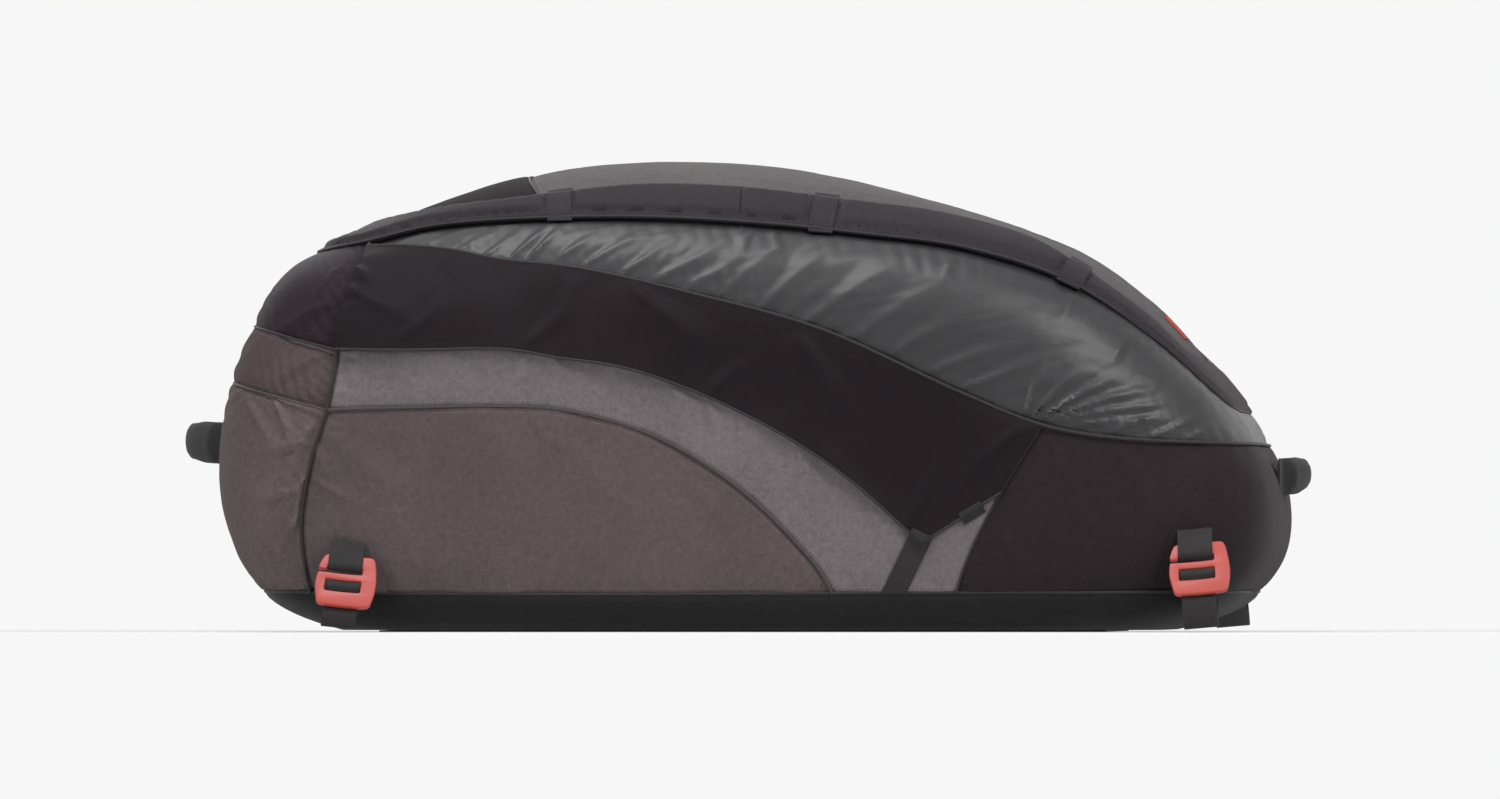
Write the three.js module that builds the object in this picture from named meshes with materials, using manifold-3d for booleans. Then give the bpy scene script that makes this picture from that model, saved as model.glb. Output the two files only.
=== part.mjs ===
// A roof cargo bag, closed and stuffed: fabric panels sewn round one full load, a storm flap over
// the zip, a grab handle at each end, and four webbing straps with quick hooks for the roof rails.
// Millimetres, +Z up, +X towards the front, the bag's right side at -Y. The origin is the middle
// of the base panel's underside, the flat face that the bag lies on.
import * as THREE from "three";
import { mergeVertices } from "three/addons/utils/BufferGeometryUtils.js";
import Module from "manifold-3d";

const wasm = await Module();
wasm.setup();

// The stuffed bag
const BAG_LENGTH = 1174;
const BAG_WIDTH = 960;
const BAG_HEIGHT = 520;
const HEART_HEIGHT = 208; // the form swells out from a point at this height
const UNDERSIDE = 2; // height of the bag's flat underside, over the base panel
const BASE_PANEL = { long: 800, wide: 800 }; // stiff sheet that the bag lies on
const TOP_SQUARENESS = 3.8; // 2 is a round cross-section, and a large number is a box
const END_SQUARENESS = 7;
const BASE_SQUARENESS = 11;
const NOSE_BLEND = [0.3, 1.05]; // where the ends' squareness turns into the top's, as a sine
const TAIL_BLEND = [0, 0.7];
const RIM_FACETS = 44; // round the side outline
const ACROSS_FACETS = 16; // across the width
const SEAM_FINENESS = 1.6; // facets of a seam for each of its listed points
const FINE_STEPS = 10; // parts of one facet, where a nearest point is looked for

// Cloth, seams and webbing
const FABRIC = 2.4; // a panel with its lining
const GAP = 0.3; // between pieces that touch
const SEAM_SLIT = 0.6; // between two panels along their seam
const WEBBING = 2.4; // thickness of all webbing
const PATCH = 2; // a patch sewn on a panel

// Storm flap and zip
const FLAP_RAISE = 8; // height of the padded flap over the panels
const FLAP_CLOTH = 2; // its cloth over the zip's tunnel
const ZIP_WIDTH = 16; // tape and coil
const ZIP_FACETS = 16; // along the zip, seen from the side
const TUNNEL_WIDTH = 24; // free space under the flap, seen from the side
const TAB_WIDTH = 27;
const TAB_REACH = 5; // how far a tab runs past the flap's edges
const SLIDER = { long: 16, wide: 11, high: 4, round: 3 };
const PULL = { long: 24, wide: 7, high: 1.6, round: 3 };

// Quick hooks and their straps
const STRAP_WIDTH = 38;
const REAR_HOOK = { at: 0.128, foot: 28, twist: 6 }; // place along the bag, height, lean to the front
const FRONT_HOOK = { at: 0.936, foot: 42, twist: -5 };
const RAIL_STAND_OFF = 40; // from the bag's widest point out to the strap round the rail
const HOOK_LEAN = 31; // degrees that the top leans in
const HOOK = { height: 64, foot: 58, waist: 68, top: 60, belly: 27, tip: 2, thick: 6 };
const HOOK_CORNER = 3;
const INNER_CORNER = 1.4; // round the webbing's edges
const HOOK_BEVEL = 1;
const HOOK_WINDOW = { width: STRAP_WIDTH + 1.4, shift: -3 };
const HOOK_BARS = { foot: 18, slot: 14.5, middle: 8.5, top: 16, mouth: 3.5 };
const STRAP_SLACK = 0.5; // round a bar of the hook
const ANCHOR = { high: 62, top: 46, foot: 84, over: 20 }; // patch that carries a hook's webbing
const BASE_STRAP_TOP = 34; // where the strap under the rail joins the base's edge
const LOWEST_STRAP = 4.5; // height of the strap's underside where it turns in
const STRAIGHTEN = 7; // under the hook's foot, where the strap turns upright
const BURIED = 8; // how far a webbing end runs on before the skin cuts it off

// Grab handles: webbing arches across each end
const REAR_HANDLE = { height: 209, wide: 46, reach: 45 };
const FRONT_HANDLE = { height: 172, wide: 40, reach: 30 };
const HANDLE_SPAN = 200;
const HANDLE_PAD = 42;
const HANDLE_THICK = 6;
const ARCH_FACETS = 16;

// Side outline and seams, as [share of the length from the rear, share of the height]
const OUTLINE = [
  [0.3, -0.02], [0.55, -0.02], [0.78, -0.02], [0.9, 0.008], [0.965, 0.068], [0.995, 0.16],
  [0.998, 0.3], [0.981, 0.404], [0.956, 0.494], [0.913, 0.608], [0.871, 0.706], [0.807, 0.808],
  [0.723, 0.883], [0.617, 0.952], [0.511, 0.991], [0.405, 1], [0.298, 0.976], [0.214, 0.922],
  [0.129, 0.844], [0.062, 0.765], [0.025, 0.608], [0.002, 0.4], [0.009, 0.23], [0.04, 0.088],
  [0.12, 0.003],
];
const FLAP_LOWER = [
  [0.03, 0.79], [0.095, 0.808], [0.144, 0.826], [0.204, 0.857], [0.29, 0.873], [0.417, 0.876],
  [0.524, 0.862], [0.617, 0.84], [0.71, 0.811], [0.81, 0.737], [0.89, 0.617], [0.955, 0.485],
  [1.01, 0.4],
];
const FLAP_UPPER = [
  [0.03, 0.85], [0.09, 0.858], [0.16, 0.872], [0.24, 0.901], [0.315, 0.924], [0.4, 0.944],
  [0.493, 0.939], [0.601, 0.909], [0.682, 0.882], [0.756, 0.839], [0.82, 0.758], [0.875, 0.676],
  [0.93, 0.57], [1, 0.5],
];
const GLOSS_SEAM = [
  [0.02, 0.81], [0.149, 0.817], [0.188, 0.816], [0.232, 0.806], [0.271, 0.788], [0.349, 0.768],
  [0.453, 0.716], [0.577, 0.639], [0.705, 0.508], [0.785, 0.436], [0.866, 0.407], [1.02, 0.4],
];
const WING_EDGE = [
  [0.06, 0.605], [0.148, 0.593], [0.283, 0.595], [0.33, 0.578], [0.392, 0.557], [0.475, 0.492],
  [0.58, 0.361], [0.671, 0.187],
];
const WING_END = [[0.671, 0.187], [0.745, 0.295], [0.84, 0.42]];
const PIPED_SEAM = [
  [0.05, 0.466], [0.191, 0.474], [0.27, 0.477], [0.337, 0.468], [0.422, 0.412], [0.501, 0.301],
  [0.562, 0.166], [0.584, 0.096], [0.6, -0.06],
];
const REAR_SEAM = [
  [0.16, 0.95], [0.146, 0.822], [0.133, 0.725], [0.121, 0.636], [0.122, 0.592], [0.114, 0.483],
  [0.097, 0.355], [0.088, 0.225], [0.097, 0.066], [0.11, -0.06],
];
const FRONT_SEAM = [[0.8, 0.5], [0.782, 0.433], [0.745, 0.295], [0.713, 0.151], [0.685, -0.06]];
const REAR_UPPER_SEAM = [[-0.03, 0.68], [0.031, 0.652], [0.096, 0.611], [0.2, 0.56]];
const REAR_LOWER_SEAM = [[-0.03, 0.56], [0.037, 0.515], [0.114, 0.469], [0.2, 0.43]];
const BASE_SEAM = [[-0.03, 0.082], [0.35, 0.078], [0.7, 0.082], [1.03, 0.08]];
const YOKE_SEAM = [[0.26, 1.08], [0.287, 0.98], [0.306, 0.927], [0.33, 0.85]];
const TAB_PLACES = [0.33, 0.578, 0.812]; // along the length, where a tab crosses the flap
const WING_TIE = [[0.672, 0.21], [0.64, 0.06]]; // webbing from the wing's tip to the base
const WING_CATCH = [[0.708, 0.238], [0.728, 0.265]];
const WING_TIE_WIDTH = 25;
const WING_CATCH_WIDTH = 14;
const BADGE_THICK = 1;
const REAR_BADGE = { from: 0.7, to: 0.765, wide: 120 }; // plain coloured patches
const FRONT_BADGE = { from: 0.625, to: 0.672, wide: 130 };

const COLOURS = {
  base: 0x101010, // black coated base cloth
  lower: 0x524b4c,
  light: 0x68615f,
  gloss: 0x4a4a4c,
  wing: 0x363234,
  front: 0x373134,
  rearUpper: 0x322d30,
  rearMiddle: 0x5d5154,
  rearLower: 0x6b6164,
  flap: 0x494447,
  top: 0x706d6d,
  yoke: 0x474345,
  webbing: 0x171616,
  hook: 0xc8503f,
  zip: 0x1c1c1d,
  metal: 0x9a9a9c,
  badge: 0xc04334,
};

const BEYOND = 200; // how far a cutting solid runs past the bag
const sideX = (share) => (share - 0.5) * BAG_LENGTH;
const sideZ = (share) => share * BAG_HEIGHT;

// A closed geometry as a solid that can be joined and cut.
function solid(geometry) {
  const bare = new THREE.BufferGeometry();
  bare.setAttribute("position", geometry.getAttribute("position"));
  if (geometry.index) bare.setIndex(geometry.index);
  const merged = mergeVertices(bare, 1e-4);
  return new wasm.Manifold(
    new wasm.Mesh({
      numProp: 3,
      vertProperties: new Float32Array(merged.attributes.position.array),
      triVerts: new Uint32Array(merged.index.array),
    }),
  );
}

// A solid as a geometry again.
function geometryOf(made) {
  const mesh = made.getMesh();
  const geometry = new THREE.BufferGeometry();
  geometry.setAttribute("position", new THREE.BufferAttribute(mesh.vertProperties, 3));
  geometry.setIndex(new THREE.BufferAttribute(mesh.triVerts, 1));
  geometry.computeVertexNormals();
  return geometry;
}

function boxSolid(low, high) {
  const box = new THREE.BoxGeometry(high[0] - low[0], high[1] - low[1], high[2] - low[2]);
  box.translate((low[0] + high[0]) / 2, (low[1] + high[1]) / 2, (low[2] + high[2]) / 2);
  return solid(box);
}

// The side outline, closed and smooth, as points from the bag's rear underside round to the front.
const rim = new THREE.CatmullRomCurve3(
  OUTLINE.map(([along, up]) => new THREE.Vector3(sideX(along), 0, sideZ(up))),
  true,
  "centripetal",
)
  .getPoints(RIM_FACETS)
  .slice(0, -1);

// How square the bag's cross-section is in the direction of a point of the rim.
function squareness(x, z) {
  const rise = (z - HEART_HEIGHT) / Math.hypot(x, z - HEART_HEIGHT);
  const most = rise > 0 ? TOP_SQUARENESS : BASE_SQUARENESS;
  const [from, to] = rise > 0 ? (x > 0 ? NOSE_BLEND : TAIL_BLEND) : [0, 1];
  const blend = THREE.MathUtils.smoothstep(Math.abs(rise), from, to);
  return THREE.MathUtils.lerp(END_SQUARENESS, most, blend);
}

// A point of the skin: turn runs from -90 degrees at the right side's middle to 90 at the left's.
function skinPoint(rimPoint, turn) {
  const power = 2 / squareness(rimPoint.x, rimPoint.z);
  const out = Math.pow(Math.abs(Math.cos(turn)), power);
  const across = Math.sign(turn) * Math.pow(Math.abs(Math.sin(turn)), power);
  return new THREE.Vector3(
    out * rimPoint.x,
    (across * BAG_WIDTH) / 2,
    HEART_HEIGHT + out * (rimPoint.z - HEART_HEIGHT),
  );
}

const turns = Array.from(
  { length: ACROSS_FACETS - 1 },
  (_, step) => -Math.PI / 2 + (Math.PI * (step + 1)) / ACROSS_FACETS,
);
const rightPole = new THREE.Vector3(0, -BAG_WIDTH / 2, HEART_HEIGHT);
const leftPole = new THREE.Vector3(0, BAG_WIDTH / 2, HEART_HEIGHT);
const rings = turns.map((turn) => rim.map((point) => skinPoint(point, turn)));
const normals = rings.map((ring, across) =>
  ring.map((point, around) => {
    const before = across > 0 ? rings[across - 1][around] : rightPole;
    const after = across < rings.length - 1 ? rings[across + 1][around] : leftPole;
    const next = ring[(around + 1) % ring.length];
    const last = ring[(around + ring.length - 1) % ring.length];
    return after.clone().sub(before).cross(next.clone().sub(last)).normalize();
  }),
);

// The whole form at a distance from the skin: outwards is positive. Its underside is flat.
const forms = new Map();
function form(offset) {
  if (forms.has(offset)) return forms.get(offset);
  const floor = UNDERSIDE + Math.max(0, -offset);
  const place = (point, normal) => {
    const moved = point.clone().addScaledVector(normal, offset);
    moved.z = Math.max(moved.z, floor);
    return moved;
  };
  const points = [place(rightPole, new THREE.Vector3(0, -1, 0))];
  rings.forEach((ring, across) => {
    ring.forEach((point, around) => points.push(place(point, normals[across][around])));
  });
  points.push(place(leftPole, new THREE.Vector3(0, 1, 0)));
  const count = rim.length;
  const index = (across, around) => 1 + across * count + (around % count);
  const lastRing = rings.length - 1;
  const faces = [];
  for (let around = 0; around < count; around++) {
    faces.push(0, index(0, around), index(0, around + 1));
    for (let across = 0; across < lastRing; across++) {
      const corners = [index(across, around), index(across + 1, around)];
      const further = [index(across, around + 1), index(across + 1, around + 1)];
      faces.push(corners[0], corners[1], further[1]);
      faces.push(corners[0], further[1], further[0]);
    }
    faces.push(index(lastRing, around), points.length - 1, index(lastRing, around + 1));
  }
  const geometry = new THREE.BufferGeometry().setFromPoints(points);
  geometry.setIndex(faces);
  forms.set(offset, solid(geometry));
  return forms.get(offset);
}
const layer = (from, to) => form(to).subtract(form(from));

// Distance of the right side's skin from the middle plane, at a place along the bag and a height.
function sideDistance(x, z) {
  const reach = Math.hypot(x, z - HEART_HEIGHT);
  const direction = new THREE.Vector3(x, 0, z - HEART_HEIGHT);
  const angleTo = (point) => direction.angleTo(new THREE.Vector3(point.x, 0, point.z - HEART_HEIGHT));
  const [best] = least(rim, angleTo);
  const power = squareness(best.x, best.z);
  const out = reach / Math.hypot(best.x, best.z - HEART_HEIGHT);
  return (Math.pow(1 - Math.pow(out, power), 1 / power) * BAG_WIDTH) / 2;
}

// The point of a line, and its place in it, where a measure is least.
function least(line, measure) {
  const closer = (best, point, place) => (measure(point) < measure(line[best]) ? place : best);
  const at = line.reduce(closer, 0);
  return [line[at], at];
}

// A seam in side view, smooth, from shares to millimetres.
function seam(shares, smooth = true) {
  const points = shares.map(([along, up]) => new THREE.Vector3(sideX(along), sideZ(up), 0));
  const curve = new THREE.CatmullRomCurve3(points, false, "centripetal");
  const line = smooth ? curve.getPoints(Math.round(SEAM_FINENESS * points.length)) : points;
  return line.map((point) => new THREE.Vector2(point.x, point.y));
}

// The same line with more points on its straight stretches.
function dense(line) {
  return line.slice(1).flatMap((point, at) =>
    Array.from({ length: FINE_STEPS }, (_, step) => line[at].clone().lerp(point, step / FINE_STEPS)),
  );
}

// A side-view outline carried across the whole width.
function prism(points, from = -BAG_WIDTH / 2 - BEYOND, to = BAG_WIDTH / 2 + BEYOND) {
  const shape = new THREE.Shape(points);
  const geometry = new THREE.ExtrudeGeometry(shape, { depth: to - from, bevelEnabled: false });
  geometry.rotateX(Math.PI / 2);
  geometry.translate(0, to, 0);
  return solid(geometry);
}

const LOW = -BEYOND;
const HIGH = BAG_HEIGHT + BEYOND;
const REAR = -BAG_LENGTH / 2 - BEYOND;
const FRONT = BAG_LENGTH / 2 + BEYOND;
const corner = (x, z) => new THREE.Vector2(x, z);
// What lies over, or under, a seam that runs from the rear to the front.
function lengthwise(line, height) {
  const start = corner(REAR, line[0].y);
  const end = corner(FRONT, line.at(-1).y);
  return prism([start, ...line, end, corner(FRONT, height), corner(REAR, height)]);
}
const over = (line) => lengthwise(line, HIGH);
const under = (line) => lengthwise(line, LOW);
// What lies behind, or ahead of, a seam that runs down.
function upAndDown(line, end) {
  const top = corner(line[0].x, HIGH);
  const foot = corner(line.at(-1).x, LOW);
  return prism([top, ...line, foot, corner(end, LOW), corner(end, HIGH)]);
}
const behind = (line) => upAndDown(line, REAR);
const ahead = (line) => upAndDown(line, FRONT);

// A strip along a line in side view, with its own width to each side.
function strip(line, half) {
  const sides = [-half, half].map((shift) =>
    line.map((point, at) => {
      const next = line[Math.min(at + 1, line.length - 1)];
      const last = line[Math.max(at - 1, 0)];
      const along = next.clone().sub(last).normalize();
      return new THREE.Vector2(point.x - along.y * shift, point.y + along.x * shift);
    }),
  );
  return prism([...sides[0], ...sides[1].reverse()]);
}

const lines = {
  flapLower: seam(FLAP_LOWER),
  flapUpper: seam(FLAP_UPPER),
  gloss: seam(GLOSS_SEAM),
  wing: [...seam(WING_EDGE).slice(0, -1), ...seam(WING_END, false)],
  piped: seam(PIPED_SEAM),
  rear: seam(REAR_SEAM),
  front: seam(FRONT_SEAM),
  rearUpper: seam(REAR_UPPER_SEAM),
  rearLower: seam(REAR_LOWER_SEAM),
  base: seam(BASE_SEAM),
  yoke: seam(YOKE_SEAM),
};
// The zip runs midway between the flap's edges.
const lowerCurve = new THREE.SplineCurve(lines.flapLower);
const upperCurve = new THREE.SplineCurve(lines.flapUpper);
lines.zip = Array.from({ length: ZIP_FACETS + 1 }, (_, step) => {
  const share = step / ZIP_FACETS;
  return lowerCurve.getPointAt(share).add(upperCurve.getPointAt(share)).multiplyScalar(0.5);
});

const rightHalf = boxSolid([REAR, -BAG_WIDTH, LOW], [FRONT, -SEAM_SLIT / 2, HIGH]);
const leftHalf = boxSolid([REAR, SEAM_SLIT / 2, LOW], [FRONT, BAG_WIDTH, HIGH]);
const slit = (line) => strip(line, SEAM_SLIT / 2);

const pieces = [];
function piece(name, made, colour, finish = { roughness: 0.85, metalness: 0 }) {
  const material = new THREE.MeshStandardMaterial({ color: COLOURS[colour], ...finish });
  const mesh = new THREE.Mesh(geometryOf(made), material);
  mesh.name = name;
  pieces.push(mesh);
}
function pair(name, made, colour) {
  piece(`${name}_right`, made.intersect(rightHalf), colour);
  piece(`${name}_left`, made.intersect(leftHalf), colour);
}

// The stuffed bag itself, with its base cloth turned up to the base seam, and the panels round it
const baseLine = lines.base.map((point) => corner(point.x, point.y - GAP));
const body = form(-FABRIC - GAP).add(form(0).intersect(under(baseLine)));
piece("bag_body", body, "base");
const panelCorner = [BASE_PANEL.long / 2, BASE_PANEL.wide / 2, UNDERSIDE - GAP];
piece("base_panel", boxSolid([-panelCorner[0], -panelCorner[1], 0], panelCorner), "base");

const skin = layer(-FABRIC, 0).intersect(over(lines.base.map((point) => corner(point.x, point.y + GAP))));
const aheadOfRear = ahead(lines.rear).subtract(slit(lines.rear));
const behindRear = behind(lines.rear).subtract(slit(lines.rear));
const zipBand = strip(lines.zip, ZIP_WIDTH / 2);
const zipSpace = strip(lines.zip, ZIP_WIDTH / 2 + GAP);
const underZip = under(lines.zip).subtract(zipSpace);
const overZip = over(lines.zip).subtract(zipSpace);
const underGloss = under(lines.gloss).subtract(slit(lines.gloss));
const belowGloss = skin.intersect(underGloss);

piece(
  "front_panel",
  belowGloss.intersect(ahead(lines.front).subtract(slit(lines.front))),
  "front",
);
const sides = belowGloss.intersect(behind(lines.front)).intersect(aheadOfRear);
pair("lower_side_panel", sides.intersect(under(lines.piped).subtract(slit(lines.piped))), "lower");
pair("light_side_panel", sides.intersect(over(lines.piped).subtract(slit(lines.front))), "light");

const upper = skin.intersect(underZip).intersect(over(lines.gloss)).intersect(aheadOfRear);
pair("upper_side_panel", upper, "gloss");

const rear = skin.intersect(behindRear).intersect(underZip);
const overUpperSeam = over(lines.rearUpper).subtract(slit(lines.rearUpper));
const overLowerSeam = over(lines.rearLower).subtract(slit(lines.rearLower));
piece("rear_upper_panel", rear.intersect(overUpperSeam), "rearUpper");
piece(
  "rear_middle_panel",
  rear.intersect(under(lines.rearUpper)).intersect(overLowerSeam),
  "rearMiddle",
);
piece("rear_lower_panel", rear.intersect(under(lines.rearLower)), "rearLower");

const lid = skin.intersect(overZip);
piece("top_panel", lid.intersect(ahead(lines.yoke).subtract(slit(lines.yoke))), "top");
piece("rear_yoke", lid.intersect(behind(lines.yoke)), "yoke");

// The wing: a second layer from the gloss seam down, free along its lower edge
const wingOuter = GAP + FABRIC;
const wingRegion = over(lines.wing).intersect(behind(lines.front));
const wing = layer(GAP, wingOuter).intersect(wingRegion).intersect(aheadOfRear).intersect(underGloss);
pair("wing", wing, "wing");

// Webbing that lies over the wing and comes down to the panel beyond it
const wingRoom = over(lines.wing.map((point) => corner(point.x, point.y - 2 * GAP)));
function drapedOverWing(line, half) {
  const outer = form(wingOuter + GAP + WEBBING).intersect(strip(line, half));
  return outer.subtract(form(GAP)).subtract(form(wingOuter + GAP).intersect(wingRoom));
}
pair("wing_tie", drapedOverWing(seam(WING_TIE, false), WING_TIE_WIDTH / 2), "webbing");
pair("wing_catch", drapedOverWing(seam(WING_CATCH, false), WING_CATCH_WIDTH / 2), "webbing");

// The zip, and the padded flap over it with a free tunnel for the sliders
piece("zip_tape", skin.intersect(zipBand), "zip");
const shifted = (line, by) => line.map((point) => corner(point.x, point.y + by));
const flapBand = over(lines.flapLower).intersect(under(lines.flapUpper));
const tunnel = form(FLAP_RAISE - FLAP_CLOTH).intersect(strip(lines.zip, TUNNEL_WIDTH / 2));
piece("storm_flap", layer(GAP, FLAP_RAISE).intersect(flapBand).subtract(tunnel), "flap");

const flapRoom = form(FLAP_RAISE + GAP)
  .intersect(over(shifted(lines.flapLower, -GAP)))
  .intersect(under(shifted(lines.flapUpper, GAP)));
const tabLayer = layer(GAP, FLAP_RAISE + GAP + WEBBING).subtract(flapRoom);
const zipFine = dense(lines.zip);
TAB_PLACES.forEach((place, number) => {
  const [middle, at] = least(zipFine, (point) => Math.abs(point.x - sideX(place)));
  const along = zipFine[at + 1].clone().sub(zipFine[at - 1]).normalize();
  const across = corner(-along.y, along.x);
  const [down, up] = [lines.flapLower, lines.flapUpper].map((edge) => {
    const [met] = least(dense(edge), (point) => point.distanceTo(middle));
    return met.distanceTo(middle);
  });
  const crossing = [
    middle.clone().addScaledVector(across, -down - TAB_REACH),
    middle.clone().addScaledVector(across, up + TAB_REACH),
  ];
  pair(`flap_tab_${number + 1}`, tabLayer.intersect(strip(crossing, TAB_WIDTH / 2)), "flap");
});

// A plate with rounded corners, lying in its own XY plane and centred on its origin.
function plate({ long, wide, high, round }) {
  const corners = [
    [-long / 2, -wide / 2],
    [long / 2, -wide / 2],
    [long / 2, wide / 2],
    [-long / 2, wide / 2],
  ];
  const shape = new THREE.Shape(rounded(corners, round));
  return new THREE.ExtrudeGeometry(shape, { depth: high, bevelEnabled: false });
}
function looseMesh(name, geometry, colour, finish) {
  const material = new THREE.MeshStandardMaterial({ color: COLOURS[colour], ...finish });
  const mesh = new THREE.Mesh(geometry, material);
  mesh.name = name;
  return mesh;
}

// Two sliders meet at the middle of the rear end, each with its pull lying along the zip.
const rearRim = dense(rim.filter((point) => point.x < 0).map((point) => corner(point.x, point.z)));
const toZip = (point) => least(zipFine, (spot) => spot.distanceTo(point))[0].distanceTo(point);
const [zipSpot, zipSpotAt] = least(rearRim, toZip);
const rimSlope = rearRim[zipSpotAt + 1].clone().sub(rearRim[zipSpotAt - 1]).normalize();
const zipNormal = new THREE.Vector3(rimSlope.y, 0, -rimSlope.x);
if (zipNormal.z < 0) zipNormal.negate();
const METAL = { roughness: 0.4, metalness: 0.9 };
const hardware = new THREE.Group();
for (const [side, sign] of [["right", -1], ["left", 1]]) {
  const holder = new THREE.Group();
  const along = new THREE.Vector3(0, sign, 0);
  const frame = new THREE.Matrix4().makeBasis(along, zipNormal.clone().cross(along), zipNormal);
  holder.quaternion.setFromRotationMatrix(frame);
  holder.position.set(zipSpot.x, 0, zipSpot.y).addScaledVector(zipNormal, 2 * GAP);
  const slider = looseMesh(`zip_slider_${side}`, plate(SLIDER), "metal", METAL);
  slider.position.x = SLIDER.long / 2 + GAP;
  const pull = looseMesh(`zip_pull_${side}`, plate(PULL), "metal", METAL);
  pull.position.x = SLIDER.long + PULL.long / 2 + 2 * GAP;
  holder.add(slider, pull);
  hardware.add(holder);
}

// A ribbon of even thickness along a path in its own plane.
function ribbon(path, thick) {
  const sides = [-thick / 2, thick / 2].map((shift) =>
    path.map((point, at) => {
      const next = path[Math.min(at + 1, path.length - 1)];
      const last = path[Math.max(at - 1, 0)];
      const along = next.clone().sub(last).normalize();
      return corner(point.x - along.y * shift, point.y + along.x * shift);
    }),
  );
  return new THREE.Shape([...sides[0], ...sides[1].reverse()]);
}

// A polygon with every corner rounded. A point's third number, where it has one, is its own radius.
function rounded(points, radius) {
  const path = [];
  points.forEach(([x, y, own = radius], at) => {
    const here = corner(x, y);
    const last = corner(...points.at(at - 1).slice(0, 2));
    const next = corner(...points[(at + 1) % points.length].slice(0, 2));
    const near = (other) => here.clone().lerp(other, own / here.distanceTo(other));
    path.push(...new THREE.QuadraticBezierCurve(near(last), here, near(next)).getPoints(2));
  });
  return path;
}

// The quick hook, in its own plane: its foot at y = 0, open at the left above the middle bar
const windowLeft = HOOK_WINDOW.shift - HOOK_WINDOW.width / 2;
const windowRight = HOOK_WINDOW.shift + HOOK_WINDOW.width / 2;
const slotFoot = HOOK_BARS.foot;
const slotTop = slotFoot + HOOK_BARS.slot;
const windowFoot = slotTop + HOOK_BARS.middle;
const windowTop = HOOK.height - HOOK_BARS.top;
function hookGeometry() {
  const lip = windowFoot + HOOK_BARS.mouth;
  const outline = [
    [-HOOK.foot / 2, 0],
    [HOOK.foot / 2, 0],
    [HOOK.waist / 2, HOOK.belly],
    [HOOK.top / 2, HOOK.height],
    [HOOK.tip - HOOK.top / 2, HOOK.height],
    [HOOK.tip - HOOK.waist / 2, lip],
    [windowLeft, lip, INNER_CORNER],
    [windowLeft, windowTop, INNER_CORNER],
    [windowRight, windowTop, INNER_CORNER],
    [windowRight, windowFoot],
    [HOOK.tip / 2 - HOOK.waist / 2, windowFoot],
    [-HOOK.waist / 2, HOOK.belly],
  ];
  const shape = new THREE.Shape(rounded(outline, HOOK_CORNER));
  const slot = [
    [windowLeft, slotFoot],
    [windowRight, slotFoot],
    [windowRight, slotTop],
    [windowLeft, slotTop],
  ];
  shape.holes.push(new THREE.Path(rounded(slot, INNER_CORNER)));
  const geometry = new THREE.ExtrudeGeometry(shape, {
    depth: HOOK.thick - 2 * HOOK_BEVEL,
    bevelThickness: HOOK_BEVEL,
    bevelSize: HOOK_BEVEL,
    bevelOffset: -HOOK_BEVEL,
    bevelSegments: 1,
  });
  return geometry.translate(0, 0, HOOK_BEVEL - HOOK.thick / 2);
}

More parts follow.
